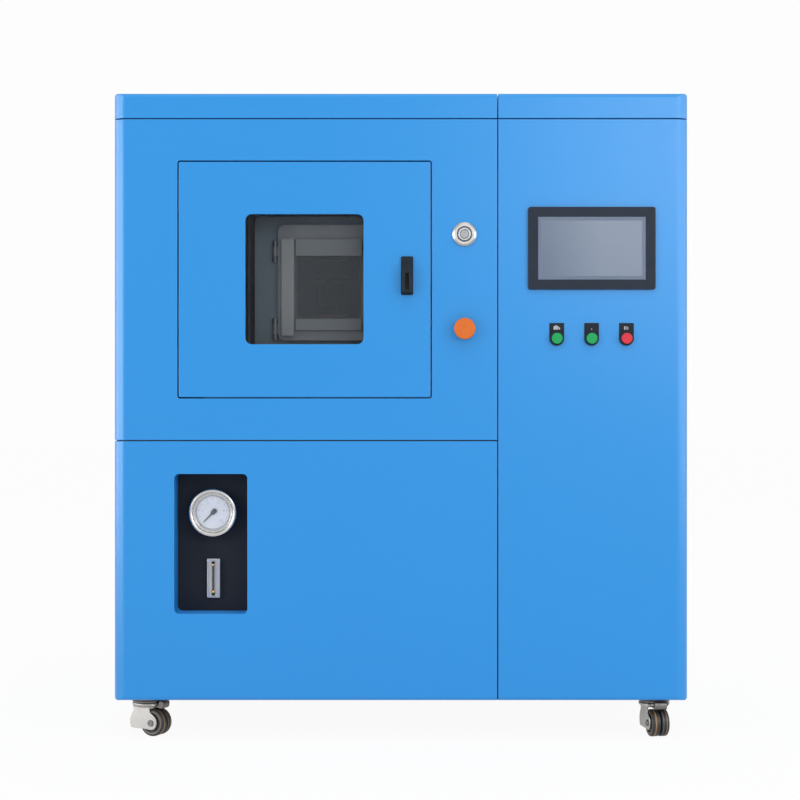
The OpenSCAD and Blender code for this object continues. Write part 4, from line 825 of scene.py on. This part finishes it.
def panel_screws():
    """The screws of the rear panels and of the fan's guard."""
    low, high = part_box("rear_panels")
    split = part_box("top_cover_right")[0].x
    y = high.y
    edge = 30 * MM
    rows = 5
    step = (high.z - low.z - 2 * edge) / (rows - 1)
    places = []
    for x in (low.x + edge, split - edge, split + edge, high.x - edge):
        places += [(x, y, low.z + edge + k * step) for k in range(rows)]
    dome_screws("rear_panel_screws", places, BACK, 4.5 * MM, bright, "root", "bright_steel")
    low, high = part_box("fan_guard")
    inset = 9 * MM
    places = [(x, y, z) for x in (low.x + inset, high.x - inset)
              for z in (low.z + inset, high.z - inset)]
    dome_screws("fan_screws", places, BACK, 3.5 * MM, bright, "root", "bright_steel")


def stage():
    """The floor, the white surroundings and the lamps."""
    seen_white = 0.983
    floor_white = 1.004
    floor_share = 0.93
    ambient_level = 0.69

    def seen(tree):
        """1 for what the camera sees straight, mirrored or through glass."""
        path = tree.nodes.new("ShaderNodeLightPath")
        total = None
        for output in ("Is Camera Ray", "Is Glossy Ray", "Is Transmission Ray"):
            if total is None:
                total = path.outputs[output]
                continue
            add = tree.nodes.new("ShaderNodeMath")
            add.operation = "ADD"
            add.use_clamp = True
            tree.links.new(total, add.inputs[0])
            tree.links.new(path.outputs[output], add.inputs[1])
            total = add.outputs["Value"]
        return total

    material = bpy.data.materials.new("pale_floor")
    material.use_nodes = True
    tree = material.node_tree
    tree.nodes.clear()
    out = tree.nodes.new("ShaderNodeOutputMaterial")
    mix = tree.nodes.new("ShaderNodeMixShader")
    white = tree.nodes.new("ShaderNodeEmission")
    diffuse = tree.nodes.new("ShaderNodeBsdfDiffuse")
    share = tree.nodes.new("ShaderNodeMath")
    share.operation = "MULTIPLY"
    share.inputs[1].default_value = floor_share
    white.inputs["Strength"].default_value = floor_white
    diffuse.inputs["Color"].default_value = (0.9, 0.9, 0.9, 1)
    tree.links.new(seen(tree), share.inputs[0])
    tree.links.new(share.outputs[0], mix.inputs["Fac"])
    tree.links.new(diffuse.outputs[0], mix.inputs[1])
    tree.links.new(white.outputs[0], mix.inputs[2])
    tree.links.new(mix.outputs[0], out.inputs["Surface"])
    size = 30.0
    mesh = bpy.data.meshes.new("floor")
    mesh.from_pydata([(-size, -size, 0), (size, -size, 0), (size, size, 0), (-size, size, 0)], [],
                     [(0, 1, 2, 3)])
    mesh.materials.append(material)
    floor = bpy.data.objects.new("floor", mesh)
    bpy.context.scene.collection.objects.link(floor)

    world = bpy.data.worlds.new("surroundings")
    bpy.context.scene.world = world
    world.use_nodes = True
    tree = world.node_tree
    tree.nodes.clear()
    out = tree.nodes.new("ShaderNodeOutputWorld")
    mix = tree.nodes.new("ShaderNodeMixShader")
    ambient = tree.nodes.new("ShaderNodeBackground")
    backdrop = tree.nodes.new("ShaderNodeBackground")
    ambient.inputs["Strength"].default_value = ambient_level
    ambient.inputs["Color"].default_value = (1, 1, 1, 1)
    backdrop.inputs["Strength"].default_value = seen_white
    backdrop.inputs["Color"].default_value = (1, 1, 1, 1)
    tree.links.new(seen(tree), mix.inputs["Fac"])
    tree.links.new(ambient.outputs[0], mix.inputs[1])
    tree.links.new(backdrop.outputs[0], mix.inputs[2])
    tree.links.new(mix.outputs[0], out.inputs["Surface"])

    def lamp(name, place, target, width, height, glow, lit=True):
        """A softbox with a radiance. One that isn't lit shows in gloss alone."""
        light = bpy.data.lights.new(name, "AREA")
        light.shape = "RECTANGLE"
        light.size = width
        light.size_y = height
        light.energy = glow * math.pi * width * height
        obj = bpy.data.objects.new(name, light)
        obj.location = place
        obj.rotation_euler = (Vector(target) - Vector(place)).to_track_quat("-Z", "Y").to_euler()
        obj.visible_diffuse = lit
        bpy.context.scene.collection.objects.link(obj)

    lamp("left_softbox", (-3.8, -3.6, 1.5), (0, 0, 0.7), 1.4, 2.8, 2.56)
    lamp("right_softbox", (3.8, -4.0, 1.9), (0, 0, 0.7), 2.0, 2.8, 2.77)
    lamp("top_softbox", (0.3, -2.0, 4.2), (0, 0, 0.6), 3.0, 2.2, 1.2)
    lamp("left_gleam", (-3.1, -1.07, 1.05), (-0.59, -0.4, 1.05), 4.2, 1.8, 4.6, lit=False)
    lamp("right_gleam", (3.1, -1.07, 1.1), (0.59, -0.4, 1.1), 3.4, 1.6, 2.6, lit=False)
    lamp("right_haze", (1.6, -3.9, 1.75), (0.59, -0.4, 1.1), 1.9, 1.3, 4.0, lit=False)


def camera():
    """The photograph's view: level, from in front of the cabinet's middle."""
    panel_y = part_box("upper_front_panel")[0].y
    distance = 3.9
    eye_x, eye_z = -0.002, 0.6963
    picture_pixels = 800
    mm_a_pixel = 2.0557 / 1.003
    view_width = picture_pixels * mm_a_pixel * MM
    data = bpy.data.cameras.new("camera")
    data.sensor_width = 36.0
    data.lens = data.sensor_width * distance / view_width
    obj = bpy.data.objects.new("camera", data)
    obj.location = (eye_x, panel_y - distance, eye_z)
    obj.rotation_euler = (math.pi / 2, 0, 0)
    bpy.context.scene.collection.objects.link(obj)
    bpy.context.scene.camera = obj


finish_nodes()
gauge()
level_gauge()
screen_details()
legend_marks()
casters()
panel_screws()
stage()
camera()
bpy.context.scene.view_settings.view_transform = "Standard"
